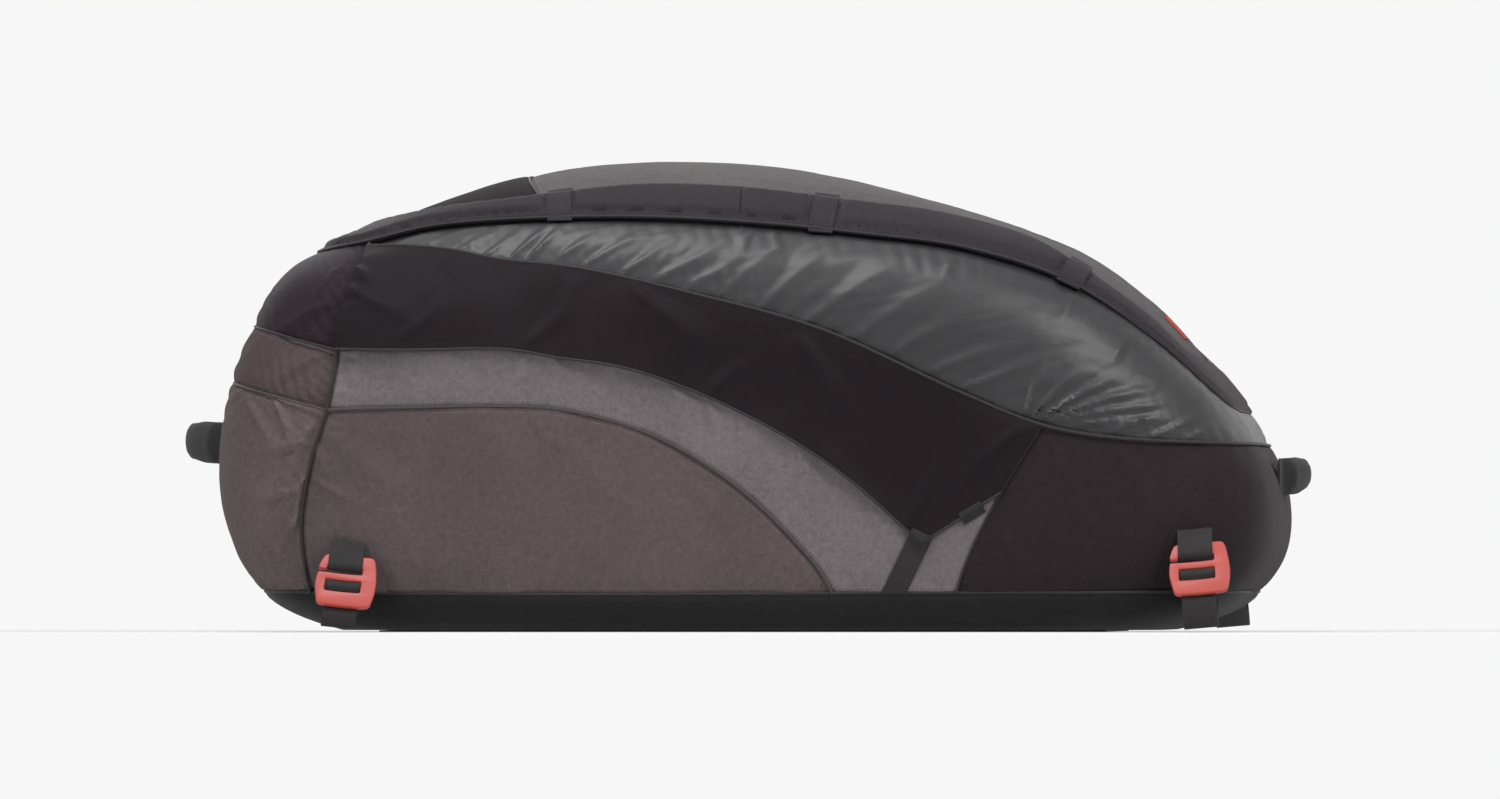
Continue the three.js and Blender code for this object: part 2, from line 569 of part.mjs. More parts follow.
// A hook's set of pieces. In section the first number is the distance from the bag's middle plane.
function strapSet(end, side, place) {
  const sign = side === "right" ? 1 : -1;
  const x = sideX(place.at);
  const lean = THREE.MathUtils.degToRad(HOOK_LEAN);
  const twist = sign * THREE.MathUtils.degToRad(place.twist);
  const distance = BAG_WIDTH / 2 + RAIL_STAND_OFF;
  const section = (out, up) =>
    corner(
      distance + out * Math.cos(lean) - up * Math.sin(lean),
      place.foot + out * Math.sin(lean) + up * Math.cos(lean),
    );
  const upright = new THREE.Matrix4().makeBasis(
    new THREE.Vector3(0, -1, 0),
    new THREE.Vector3(0, 0, 1),
    new THREE.Vector3(-1, 0, 0),
  );
  const placed = new THREE.Matrix4()
    .makeTranslation(x, 0, 0)
    .multiply(new THREE.Matrix4().makeRotationZ(sign > 0 ? 0 : Math.PI))
    .multiply(new THREE.Matrix4().makeRotationY(twist));
  const swept = (shape) => {
    const geometry = new THREE.ExtrudeGeometry(shape, { depth: STRAP_WIDTH, bevelEnabled: false });
    geometry.translate(0, 0, -STRAP_WIDTH / 2 - HOOK_WINDOW.shift);
    return solid(geometry.applyMatrix4(upright).applyMatrix4(placed));
  };

  // Patch on the panel, behind the webbing that leans across it
  const top = place.foot + HOOK.height * Math.cos(lean) + ANCHOR.over;
  const middle = x + sign * (HOOK_WINDOW.shift + top * Math.tan(twist));
  const patch = [
    corner(middle - ANCHOR.foot / 2, top - ANCHOR.high),
    corner(middle + ANCHOR.foot / 2, top - ANCHOR.high),
    corner(middle + ANCHOR.top / 2, top),
    corner(middle - ANCHOR.top / 2, top),
  ];
  const half = side === "right" ? rightHalf : leftHalf;
  const patchLayer = layer(GAP, GAP + PATCH).intersect(prism(patch)).intersect(half);
  piece(`${end}_anchor_patch_${side}`, patchLayer, end === "rear" ? "lower" : "front");

  // Webbing folded round the hook's top bar, and on to the patch
  const ringShape = (spare) => {
    const out = HOOK.thick / 2 + spare;
    const corners = [
      [out, windowTop - spare],
      [out, HOOK.height + spare],
      [-out, HOOK.height + spare],
      [-out, windowTop - spare],
    ];
    return rounded(corners, WEBBING).map((point) => section(point.x, point.y));
  };
  const ring = new THREE.Shape(ringShape(STRAP_SLACK + WEBBING));
  ring.holes.push(new THREE.Path(ringShape(STRAP_SLACK)));
  const ringTop = HOOK.height + STRAP_SLACK;
  const reach = sideDistance(middle, top - WEBBING);
  const rise = [section(0, ringTop + WEBBING / 2), section(0, ringTop + 2 * WEBBING)];
  const tail = ribbon([...rise, corner(reach - BURIED, top - WEBBING)], 2 * WEBBING);
  const loop = swept(ring).add(swept(tail)).subtract(form(2 * GAP + PATCH));
  piece(`${end}_hook_webbing_${side}`, loop, "webbing");

  // Webbing from the hook's slot down, under the rail and back to the base seam
  const behindBar = -(HOOK.thick / 2 + STRAP_SLACK + WEBBING / 2);
  const bend = distance - WEBBING * 2.5;
  const run = [
    section(0, slotTop - WEBBING),
    section(0, slotFoot + 2.6 * WEBBING),
    section(behindBar, slotFoot + 1),
    section(behindBar, 0),
    corner(distance, place.foot - STRAIGHTEN),
    corner(distance, LOWEST_STRAP + 2.5 * WEBBING),
    corner(distance - WEBBING / 2, LOWEST_STRAP + WEBBING),
    corner(bend, LOWEST_STRAP + WEBBING / 2),
    corner(sideDistance(x, BASE_STRAP_TOP) - BURIED, BASE_STRAP_TOP),
  ];
  piece(`${end}_rail_strap_${side}`, swept(ribbon(run, WEBBING)).subtract(form(GAP)), "webbing");

  const holder = new THREE.Group();
  holder.position.x = x;
  holder.rotation.z = sign > 0 ? 0 : Math.PI;
  const leaning = new THREE.Group();
  leaning.rotation.y = twist;
  const hook = looseMesh(`${end}_hook_${side}`, hookGeometry(), "hook", { roughness: 0.4, metalness: 0 });
  hook.position.set(0, -distance, place.foot);
  hook.rotation.x = Math.PI / 2 - lean;
  leaning.add(hook);
  holder.add(leaning);
  hardware.add(holder);
}
for (const side of ["right", "left"]) {
  strapSet("rear", side, REAR_HOOK);
  strapSet("front", side, FRONT_HOOK);
}

// Where the rim crosses a height, at the rear or at the front end.
function rimX(height, sign) {
  const end = rim.filter((point) => point.x * sign > 0);
  return least(end, (point) => Math.abs(point.z - height))[0].x;
}

// A grab handle: a folded webbing arch across the end, sewn down on a pad at each side.
function handle(name, sign, size) {
  const skinX = Math.abs(rimX(size.height, sign));
  const low = size.height - size.wide / 2;
  const high = size.height + size.wide / 2;
  const wholeSpan = HANDLE_SPAN + HANDLE_THICK;
  const arch = Array.from({ length: ARCH_FACETS + 1 }, (_, step) => {
    const across = (step / ARCH_FACETS - 0.5) * wholeSpan;
    const swell = Math.cos((Math.PI * across) / wholeSpan) ** 2;
    return corner(sign * (skinX + (size.reach - HANDLE_THICK / 2) * swell), across);
  });
  const swept = { depth: size.wide, bevelEnabled: false };
  const archGeometry = new THREE.ExtrudeGeometry(ribbon(arch, HANDLE_THICK), swept);
  archGeometry.translate(0, 0, low);
  const from = sign > 0 ? 0 : REAR;
  const to = sign > 0 ? FRONT : 0;
  const padEnd = HANDLE_SPAN / 2 + HANDLE_PAD;
  const padBand = boxSolid([from, -padEnd, low], [to, padEnd, high]);
  const between = boxSolid([from, -HANDLE_SPAN / 2, low - GAP], [to, HANDLE_SPAN / 2, high + GAP]);
  const pads = form(GAP + WEBBING * 1.5).intersect(padBand.subtract(between));
  piece(name, pads.add(solid(archGeometry)).subtract(form(GAP)), "webbing");
}
handle("rear_handle", -1, REAR_HANDLE);
handle("front_handle", 1, FRONT_HANDLE);

// A plain coloured patch on each end
function badge(name, sign, size) {
  const low = [sign > 0 ? 0 : REAR, -size.wide / 2, sideZ(size.from)];
  const high = [sign > 0 ? FRONT : 0, size.wide / 2, sideZ(size.to)];
  piece(name, layer(GAP, GAP + BADGE_THICK).intersect(boxSolid(low, high)), "badge");
}
badge("rear_badge", -1, REAR_BADGE);
badge("front_badge", 1, FRONT_BADGE);

const group = new THREE.Group();
group.add(...pieces, hardware);
export default group;
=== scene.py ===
# A roof cargo bag, closed and stuffed: sewn cloth panels with puckered seams, a padded storm flap,
# a loose wing of cloth on each side, end handles, and red quick hooks on webbing straps.
import math

import bpy
import numpy as np
from mathutils import Matrix, Vector


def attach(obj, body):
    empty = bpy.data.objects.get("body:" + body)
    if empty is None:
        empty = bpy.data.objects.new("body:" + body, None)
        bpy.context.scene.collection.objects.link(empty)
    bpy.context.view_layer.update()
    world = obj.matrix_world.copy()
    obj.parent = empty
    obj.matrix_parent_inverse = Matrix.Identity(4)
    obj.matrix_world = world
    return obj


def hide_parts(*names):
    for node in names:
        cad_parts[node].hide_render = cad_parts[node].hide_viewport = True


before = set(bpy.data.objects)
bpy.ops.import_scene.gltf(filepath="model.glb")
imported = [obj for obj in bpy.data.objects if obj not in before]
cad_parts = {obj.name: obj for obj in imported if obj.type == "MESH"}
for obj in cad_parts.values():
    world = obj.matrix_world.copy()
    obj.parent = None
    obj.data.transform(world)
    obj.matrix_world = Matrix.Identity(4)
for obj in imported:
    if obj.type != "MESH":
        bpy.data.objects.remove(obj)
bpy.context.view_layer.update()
MM = 0.001

# The stuffed bag, in metres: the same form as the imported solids
LENGTH = 1.174
WIDTH = 0.960
HEIGHT = 0.520
HEART = 0.208
UNDERSIDE = 0.002
TOP_SQUARENESS = 3.8
END_SQUARENESS = 7
BASE_SQUARENESS = 11
NOSE_BLEND = (0.3, 1.05)
TAIL_BLEND = (0.0, 0.7)
CELLS = (300, 170, 140)  # of the skin's grid along the length, the width and the height
LINING_CELLS = (110, 70, 50)
LINING_DEPTH = 17 * MM
FLATTEST = 0.04  # keeps the true distance from a seam bounded where the skin turns away
BATCH = 20000  # points measured at a time
LID_MARGIN = 20 * MM  # how far the top panels run on under the flap
PAD_HIGH = 9.5 * MM
HEM_HIGH = 3.6 * MM
HEM_WIDE = 9 * MM  # the flat edge of the flap round its padding
TAB_GAP = 17 * MM  # from a tab's middle to the padding
TAB_HALF = 13.5 * MM
TAB_NEAR = 30 * MM  # a first, rough cut round a tab
TAB_OVER = 4 * MM  # how far a tab reaches past the flap's edges
TAB_STRETCH = 90 * MM  # of the flap on each side of a tab
FLAP_STEPS = 200  # of the flap's middle line, from the rear to the front
ZIP_INSET = 9 * MM  # from the flap's edges to the tape's
PANEL_CREASE, RIBBON_CREASE, HOOK_CREASE = (math.radians(angle) for angle in (62, 50, 40))

# Side outline and seams, as (thousandths of the length from the rear, thousandths of the height)
OUTLINE = [
    (300, -20), (550, -20), (780, -20), (900, 8), (965, 68), (995, 160), (998, 300), (981, 404),
    (956, 494), (913, 608), (871, 706), (807, 808), (723, 883), (617, 952), (511, 991), (405, 1000),
    (298, 976), (214, 922), (129, 844), (62, 765), (25, 608), (2, 400), (9, 230), (40, 88),
    (120, 3),
]
ALONG_SEAMS = {  # these run from the rear to the front
    "flap_low": [
        (30, 790), (95, 808), (144, 826), (204, 857), (290, 873), (417, 876), (524, 862),
        (617, 840), (710, 811), (810, 737), (890, 617), (955, 485), (1010, 400),
    ],
    "flap_high": [
        (30, 850), (90, 858), (160, 872), (240, 901), (315, 924), (400, 944), (493, 939),
        (601, 909), (682, 882), (756, 837), (789, 806), (820, 767), (875, 679), (930, 570),
        (1000, 500),
    ],
    "gloss": [
        (20, 810), (149, 817), (188, 816), (232, 806), (271, 788), (349, 768), (453, 716),
        (577, 639), (705, 508), (785, 436), (866, 407), (1020, 400),
    ],
    "wing": [
        (60, 605), (148, 593), (283, 595), (330, 578), (392, 557), (475, 492), (580, 361),
        (671, 187),
    ],
    "piped": [
        (50, 466), (191, 474), (270, 477), (337, 468), (422, 412), (501, 301), (562, 166),
        (584, 96), (600, -60),
    ],
    "rear_upper": [(-30, 680), (31, 652), (96, 611), (200, 560)],
    "rear_lower": [(-30, 560), (37, 515), (114, 469), (200, 430)],
    "base": [(-30, 82), (350, 78), (700, 82), (1030, 80)],
}
WING_END = [(745, 295), (840, 420)]  # the wing's edge past its tip, cut straight
DOWN_SEAMS = {  # these run from the top down
    "rear": [
        (160, 950), (146, 822), (133, 725), (121, 636), (122, 592), (114, 483), (97, 355),
        (88, 225), (97, 66), (110, -60),
    ],
    "front": [(800, 500), (782, 433), (745, 295), (713, 151), (685, -60)],
    "yoke": [(260, 1080), (287, 980), (306, 927), (330, 850)],
}
TAB_PLACES = (0.33, 0.578, 0.812)  # shares of the length

# Folds in the panels: where each starts, narrow, and where it fades out, in thousandths as above,
# then its half width and its height in mm
GLOSS_FOLDS = [
    (170, 826, 232, 868, 3, 1.8), (196, 815, 262, 868, 3.2, 2), (232, 808, 288, 872, 3.2, 2.4),
    (256, 796, 300, 858, 2.8, 2.2), (278, 788, 334, 876, 3.4, 3.4), (296, 782, 342, 870, 3, 3.2),
    (322, 776, 372, 850, 3.4, 2.2), (352, 766, 412, 858, 4.2, 2.5), (385, 750, 440, 842, 4.6, 2.7),
    (410, 736, 500, 846, 6, 2.5), (440, 722, 530, 812, 6.5, 2.2), (478, 700, 552, 842, 7.5, 2.2),
    (520, 676, 588, 838, 8.5, 3.4), (556, 652, 650, 792, 9, 3.4), (600, 620, 700, 742, 9, 3),
    (640, 580, 742, 702, 8.5, 3), (676, 542, 756, 622, 6, 3), (704, 512, 790, 588, 5, 3.2),
    (766, 450, 784, 556, 3.2, 4), (772, 448, 815, 548, 3.2, 4.6), (778, 446, 850, 536, 3.2, 4.6),
    (784, 443, 880, 512, 3.2, 4.2), (790, 440, 900, 482, 3.2, 3.6), (800, 430, 905, 452, 2.8, 3),
    (842, 420, 902, 472, 3, 2.8), (880, 412, 936, 466, 3, 2.6), (915, 408, 958, 452, 3, 2.2),
    (868, 640, 846, 560, 5, 2.4), (812, 728, 800, 648, 5, 2.2), (700, 800, 690, 735, 5, 2),
    (510, 858, 498, 800, 4, 2.4), (528, 858, 536, 806, 4, 2.2),
]
WING_FOLDS = [
    (124, 790, 180, 690, 7, 4.6), (122, 740, 200, 640, 8, 4.4), (212, 800, 262, 700, 8, 3.6),
    (352, 760, 330, 650, 10, 4), (395, 735, 478, 600, 12, 4.6), (555, 640, 600, 470, 14, 4.4),
    (765, 436, 700, 320, 9, 4), (300, 605, 350, 690, 8, 3.8), (640, 240, 560, 440, 10, 4),
    (655, 200, 690, 380, 8, 3.4), (180, 606, 230, 700, 7, 3.2), (470, 500, 520, 600, 8, 3.6),
]
BAND_FOLDS = [
    (300, 596, 282, 494, 6, 3.4), (318, 588, 362, 500, 6, 3), (430, 530, 484, 440, 6, 3.6),
    (470, 500, 478, 400, 6, 3), (222, 598, 258, 500, 6, 2.4), (130, 592, 146, 490, 6, 2.4),
    (550, 420, 580, 270, 8, 2.4), (165, 598, 196, 500, 6, 1.8),
]
CANVAS_FOLDS = [
    (92, 460, 112, 330, 4, 2.6), (108, 440, 220, 230, 12, 1.8), (300, 466, 420, 180, 14, 2),
    (98, 330, 150, 260, 5, 2.4), (450, 340, 520, 110, 12, 1.8), (230, 110, 300, 300, 14, 1.6),
]
REAR_FOLDS = [
    (104, 450, 62, 300, 4, 5.6), (98, 400, 50, 380, 4, 4.6), (96, 330, 50, 200, 4, 5.2),
    (90, 260, 56, 110, 4, 4.6), (30, 500, 66, 380, 5, 4.4), (60, 500, 82, 400, 4, 4.8),
    (112, 590, 50, 520, 5, 3.4), (120, 700, 60, 640, 6, 3.4), (102, 370, 70, 180, 4, 4.4),
    (94, 300, 40, 280, 4, 3.6), (75, 150, 40, 240, 5, 3.6), (124, 780, 90, 680, 5, 3.2),
]
NOSE_FOLDS = [
    (786, 424, 806, 310, 5, 2.4), (850, 404, 890, 250, 9, 2.2), (742, 230, 772, 100, 8, 1.8),
    (925, 400, 958, 250, 8, 2),
]


def smooth_line(points, closed=False, steps=8):
    """A centripetal spline through the points."""
    points = np.asarray(points, float)
    if closed:
        ring = np.concatenate([points[-1:], points, points[:2]])
    else:
        before = 2 * points[:1] - points[1:2]
        after = 2 * points[-1:] - points[-2:-1]
        ring = np.concatenate([before, points, after])
    a, b, c, d = ring[:-3], ring[1:-2], ring[2:-1], ring[3:]
    ab, bc, cd = (np.sqrt(np.linalg.norm(q - p, axis=1))[:, None] for p, q in ((a, b), (b, c), (c, d)))
    leave = ((b - a) / ab - (c - a) / (ab + bc) + (c - b) / bc) * bc
    arrive = ((c - b) / bc - (d - b) / (bc + cd) + (d - c) / cd) * bc
    t = np.arange(steps)[:, None, None] / steps
    curve = (2 * t**3 - 3 * t**2 + 1) * b + (t**3 - 2 * t**2 + t) * leave
    curve = curve + (3 * t**2 - 2 * t**3) * c + (t**3 - t**2) * arrive
    line = curve.transpose(1, 0, 2).reshape(-1, points.shape[1])
    return line if closed else np.concatenate([line, points[-1:]])


def in_metres(points):
    """Thousandths of the side view as metres."""
    shares = np.asarray(points, float) / 1000
    return np.stack([(shares[:, 0] - 0.5) * LENGTH, shares[:, 1] * HEIGHT], axis=1)


rim = smooth_line(in_metres(OUTLINE), closed=True)
rim_angle = np.arctan2(rim[:, 1] - HEART, rim[:, 0])
rim_reach = np.hypot(rim[:, 0], rim[:, 1] - HEART)


def rim_at(angle):
    """The outline's distance from the heart of the bag, in a direction of the side view."""
    return np.interp(angle, rim_angle, rim_reach, period=2 * np.pi)


def rise_between(value, low, high):
    """0 up to low, 1 from high on, and smooth between."""
    part = np.clip((value - low) / (high - low), 0, 1)
    return part * part * (3 - 2 * part)


def squareness(angle):
    """How square the bag's cross-section is in a direction of the side view."""
    rise = np.sin(angle)
    nose = np.cos(angle) > 0
    up = rise > 0
    low = np.where(up, np.where(nose, NOSE_BLEND[0], TAIL_BLEND[0]), 0)
    high = np.where(up, np.where(nose, NOSE_BLEND[1], TAIL_BLEND[1]), 1)
    most = np.where(up, TOP_SQUARENESS, BASE_SQUARENESS)
    return END_SQUARENESS + (most - END_SQUARENESS) * rise_between(np.abs(rise), low, high)


def outness(points):
    """1 on the skin, less inside it, growing evenly from the heart of the bag."""
    x, y, z = points[:, 0], points[:, 1], points[:, 2] - HEART
    angle = np.arctan2(z, x)
    power = squareness(angle)
    return ((np.hypot(x, z) / rim_at(angle)) ** power + np.abs(2 * y / WIDTH) ** power) ** (1 / power)


def onto_skin(points):
    heart = np.array([0, 0, HEART])
    return heart + (points - heart) / outness(points)[:, None]


def skin_normals(points, step=0.0008):
    slopes = []
    for axis in np.eye(3) * step:
        slopes.append(outness(points + axis) - outness(points - axis))
    slopes = np.stack(slopes, axis=1)
    return slopes / np.linalg.norm(slopes, axis=1)[:, None]


def swells(points, size, seed):
    """Smooth noise from -1 to 1 in swells of about this size, one size or one for each axis."""
    table = np.random.RandomState(seed).uniform(-1, 1, (32, 32, 32))
    cell = points / size
    low = np.floor(cell).astype(int)
    part = cell - low
    part = part * part * (3 - 2 * part)
    total = np.zeros(len(points))
    for corner in np.ndindex(2, 2, 2):
        weight = np.prod(np.where(np.array(corner) == 1, part, 1 - part), axis=1)
        spot = (low + corner) % 32
        total += weight * table[spot[:, 0], spot[:, 1], spot[:, 2]]
    return total


class Seam:
    """A seam in side view: how far each point lies from it, and how far along it."""

    def __init__(self, line, lengthwise=True):
        self.line = line
        self.lengthwise = lengthwise

    def measure(self, points, normals):
        flat = points[:, [0, 2]]
        start, end = self.line[:-1], self.line[1:]
        step = end - start
        size = np.linalg.norm(step, axis=1)
        runs = np.concatenate([[0], np.cumsum(size)[:-1]])
        gap = np.empty(len(flat))
        run = np.empty(len(flat))
        away = np.empty((len(flat), 2))
        for first in range(0, len(flat), BATCH):
            these = slice(first, first + BATCH)
            some = flat[these, None, :]
            share = np.clip(((some - start) * step).sum(2) / size**2, 0, 1)
            offset = some - (start + share[..., None] * step)
            distance = np.linalg.norm(offset, axis=2)
            best = distance.argmin(axis=1)
            row = np.arange(len(best))
            gap[these] = distance[row, best]
            run[these] = runs[best] + share[row, best] * size[best]
            away[these] = offset[row, best]
        if self.lengthwise:
            side = flat[:, 1] - np.interp(flat[:, 0], self.line[:, 0], self.line[:, 1])
        else:
            side = flat[:, 0] - np.interp(-flat[:, 1], -self.line[:, 1], self.line[:, 0])
        away = away / np.maximum(gap, 1e-9)[:, None]
        facing = (away * normals[:, [0, 2]]).sum(1)
        true = gap / np.sqrt(np.maximum(1 - facing**2, FLATTEST))
        return np.sign(side) * gap, np.sign(side) * true, run


def seam_line(shares, lengthwise=True, end=()):
    line = smooth_line(in_metres(shares))
    if len(end):
        line = np.concatenate([line, in_metres(end)])
    if lengthwise:
        first, last = (-1.0, line[0, 1]), (1.0, line[-1, 1])
    else:
        first, last = (line[0, 0], 1.0), (line[-1, 0], -1.0)
    return Seam(np.concatenate([[first], line, [last]]), lengthwise)


seams = {name: seam_line(shares) for name, shares in ALONG_SEAMS.items() if name != "wing"}
seams["wing"] = seam_line(ALONG_SEAMS["wing"], end=WING_END)
seams.update({name: seam_line(shares, lengthwise=False) for name, shares in DOWN_SEAMS.items()})


class Cloth:
    """Triangles, with columns of numbers at every point: its place, its normal and its seams."""

    def __init__(self, columns, faces):
        self.columns = columns
        self.faces = faces

    def __getitem__(self, name):
        return self.columns[name]

    def where(self, side):
        """The part where side is over 0, cut through the triangles that it crosses."""
        inside = side > 0
        corners = inside[self.faces]
        count = corners.sum(axis=1)
        crossing = self.faces[(count == 1) | (count == 2)]
        mixed = inside[crossing]
        alone = mixed.sum(axis=1) == 1
        odd = np.where(alone, mixed.argmax(axis=1), (~mixed).argmax(axis=1))
        row = np.arange(len(crossing))
        a, b, c = (crossing[row, (odd + turn) % 3] for turn in range(3))
        edges = np.sort(np.stack([np.concatenate([a, a]), np.concatenate([b, c])], axis=1), axis=1)
        unique, places = np.unique(edges, axis=0, return_inverse=True)
        places = places.reshape(-1)
        share = side[unique[:, 0]] / (side[unique[:, 0]] - side[unique[:, 1]])
        total = len(side)
        columns = {}
        for name, values in self.columns.items():
            low, high = values[unique[:, 0]], values[unique[:, 1]]
            part = share if values.ndim == 1 else share[:, None]
            columns[name] = np.concatenate([values, low + (high - low) * part])
        ab = total + places[: len(crossing)]
        ac = total + places[len(crossing) :]
        faces = [self.faces[count == 3]]
        faces.append(np.stack([a, ab, ac], axis=1)[alone])
        faces.append(np.stack([ab, b, c], axis=1)[~alone])
        faces.append(np.stack([ab, c, ac], axis=1)[~alone])
        faces = np.concatenate(faces)
        used, faces = np.unique(faces, return_inverse=True)
        columns = {name: values[used] for name, values in columns.items()}
        return Cloth(columns, faces.reshape(-1, 3))

    def over(self, seam):
        return self.where(self[seam])

    def under(self, seam):
        return self.where(-self[seam])

    def normals(self):
        return self["normal"] / np.linalg.norm(self["normal"], axis=1)[:, None]


def select_only(*objects):
    bpy.ops.object.select_all(action="DESELECT")
    for thing in objects:
        thing.select_set(True)
    bpy.context.view_layer.objects.active = objects[-1]


def box_grid(cells):
    """A closed box with every side cut into cells, as points and triangles."""
    points, faces, count = [], [], 0
    size = np.array([LENGTH, WIDTH, HEIGHT])
    for axis in range(3):
        u, v = (axis + 1) % 3, (axis + 2) % 3
        ticks = [np.linspace(0, 1, cells[way] + 1) for way in (u, v)]
        across, up = np.meshgrid(*ticks, indexing="ij")
        numbers = np.arange(across.size).reshape(across.shape)
        a, b = numbers[:-1, :-1].ravel(), numbers[1:, :-1].ravel()
        c, d = numbers[1:, 1:].ravel(), numbers[:-1, 1:].ravel()
        even = (np.add.outer(np.arange(cells[u]), np.arange(cells[v])) % 2 == 0).ravel()[:, None]
        first = np.where(even, np.stack([a, b, c], 1), np.stack([a, b, d], 1))
        second = np.where(even, np.stack([a, c, d], 1), np.stack([b, c, d], 1))
        turned = np.concatenate([first, second])
        for far in (0, 1):
            side = np.zeros((across.size, 3))
            side[:, axis], side[:, u], side[:, v] = far, across.ravel(), up.ravel()
            faces.append((turned if far else turned[:, ::-1]) + count)
            points.append((side - [0.5, 0.5, 0]) * size)
            count += across.size
    points, faces = np.concatenate(points), np.concatenate(faces)
    _, kept, places = np.unique(np.round(points, 7), axis=0, return_index=True, return_inverse=True)
    return points[kept], places.reshape(-1)[faces]


def skin_cloth():
    """The whole skin: a box cut into cells, then blown out on to the bag's form."""
    points, faces = box_grid(CELLS)
    points = onto_skin(points)
    normals = skin_normals(points)
    points[:, 2] = np.maximum(points[:, 2], UNDERSIDE)
    columns = {"place": points, "normal": normals}
    for name, seam in seams.items():
        flat, true, run = seam.measure(points, normals)
        columns[name] = flat
        columns[name + "_gap"] = true
        columns[name + "_run"] = run
    return Cloth(columns, faces)


def ridge(cloth, folds):
    """Height of the folds at each point: each starts as a sharp crease, then widens and fades."""
    flat = cloth["place"][:, [0, 2]]
    height = np.zeros(len(flat))
    for *ends, half, high in folds:
        start, end = in_metres(np.reshape(ends, (2, 2)))
        step = end - start
        size = np.linalg.norm(step)
        share = ((flat - start) @ step) / size**2
        bend = 0.025 * size * np.sin(3.0 * share + 0.04 * ends[0])
        across = ((flat - start) @ np.array([-step[1], step[0]])) / size - bend
        fade = rise_between(share, -0.05, 0.22) * (1 - rise_between(share, 0.30, 1.25))
        sharp = across / (half * MM * (0.55 + np.clip(share, 0, 1.3)))
        crest = (1 + sharp**2) ** -1.5 - 0.4 * (1 + (sharp - 1.9) ** 2) ** -1.5
        height += high * MM * fade * crest
    return height


def streaks(cloth, angle, long, wide, seed):
    """Noise from -1 to 1 in streaks that run at this angle, in degrees, in side view."""
    turn = np.radians(angle)
    flat = cloth["place"]
    ahead = flat[:, 0] * np.cos(turn) + flat[:, 2] * np.sin(turn)
    across = flat[:, 2] * np.cos(turn) - flat[:, 0] * np.sin(turn)
    return swells(np.stack([ahead * wide / long, across, flat[:, 1] * 0.35], axis=1), wide, seed)


def crumple(cloth, angle, long, wide, seed):
    """Sharp-crested streaks, from -1 in their valleys to 1 on their crests."""
    return 1 - 2 * np.abs(streaks(cloth, angle, long, wide, seed)) ** 0.8


def puckers(gap, run, pitch, high, reach, seed, slant=0.0):
    """Small gathers that run away from a seam, uneven in pitch and height. Sizes are in mm."""
    gap = np.abs(gap)
    grain = np.stack([run, gap * 0.2, np.zeros(len(run))], axis=1)
    phase = 2 * np.pi * (run + slant * gap + 0.010 * swells(grain, 0.045, seed)) / (pitch * MM)
    tall = 0.35 + 0.65 * np.clip(0.5 + 0.9 * swells(grain, 0.06, seed + 1), 0, 1)
    far = reach * MM * (0.6 + 0.8 * np.clip(0.5 + 0.8 * swells(grain, 0.05, seed + 2), 0, 1))
    crest = np.sqrt((1 + np.sin(phase)) / 2) - 0.64
    return high * MM * tall * crest * (1 - np.exp(-gap / (4 * MM))) * np.exp(-gap / far)


def sewn_in(gap, deep=3.0, wide=20.0):
    """A panel dips where it is sewn into a seam. Sizes are in mm."""
    gap = np.abs(gap) / MM
    return -deep * MM * np.exp(-gap / wide) - 1.3 * MM * np.exp(-((gap / 4.0) ** 2))


def sewn(cloth, dips, gathers):
    """A panel's height from its seams: a row of each seam's dip, and a row of each seam's puckers."""
    height = sum(sewn_in(cloth[seam + "_gap"], *row) for seam, *row in dips)
    return height + sum(puckers(cloth[seam + "_gap"], cloth[seam + "_run"], *row) for seam, *row in gathers)


def run_along(line):
    """How far along a line each of its points is."""
    return np.concatenate([[0], np.cumsum(np.linalg.norm(np.diff(line, axis=0), axis=1))])


PLAN_STEPS = 2000
plan_turn = np.linspace(-np.pi, np.pi, PLAN_STEPS + 1)
plan_way = np.stack([np.cos(plan_turn), np.sin(plan_turn)], axis=1)
plan_out = (np.abs(plan_way) ** END_SQUARENESS).sum(axis=1) ** (-1 / END_SQUARENESS)
plan_run = run_along(plan_way * plan_out[:, None] * [LENGTH / 2, WIDTH / 2])


def weave_map(points, flat_lay):
    """Where each point lies on its cloth, in metres: round the bag and up, or seen from above."""
    if flat_lay:
        return points[:, [0, 1]]
    turn = np.arctan2(points[:, 1] / WIDTH, points[:, 0] / LENGTH)
    return np.stack([np.interp(turn, plan_turn, plan_run), points[:, 2]], axis=1)


def mesh_object(name, points, faces):
    """A smooth mesh of points and faces, put in the scene."""
    mesh = bpy.data.meshes.new(name)
    mesh.vertices.add(len(points))
    mesh.vertices.foreach_set("co", np.asarray(points, np.float32).ravel())
    faces = np.asarray(faces, np.int32)
    mesh.loops.add(faces.size)
    mesh.loops.foreach_set("vertex_index", faces.ravel())
    mesh.polygons.add(len(faces))
    mesh.polygons.foreach_set("loop_start", np.arange(0, faces.size, faces.shape[1], dtype=np.int32))
    mesh.polygons.foreach_set("use_smooth", np.full(len(faces), True))
    mesh.update(calc_edges=True)
    mesh.validate()
    made = bpy.data.objects.new(name, mesh)
    bpy.context.scene.collection.objects.link(made)
    return made


def curve_mesh(name, lines, closed=False, **settings):
    """Curves through lines of points, turned into a mesh, which is left selected."""
    curve = bpy.data.curves.new(name, "CURVE")
    for key, value in settings.items():
        setattr(curve, key, value)
    for line in lines:
        spline = curve.splines.new("POLY")
        spline.points.add(len(line) - 1)
        spline.use_cyclic_u = closed
        spline.points.foreach_set("co", np.concatenate([line, np.ones((len(line), 1))], axis=1).ravel())
    made = bpy.data.objects.new(name, curve)
    bpy.context.scene.collection.objects.link(made)
    select_only(made)
    bpy.ops.object.convert(target="MESH")
    return bpy.context.object


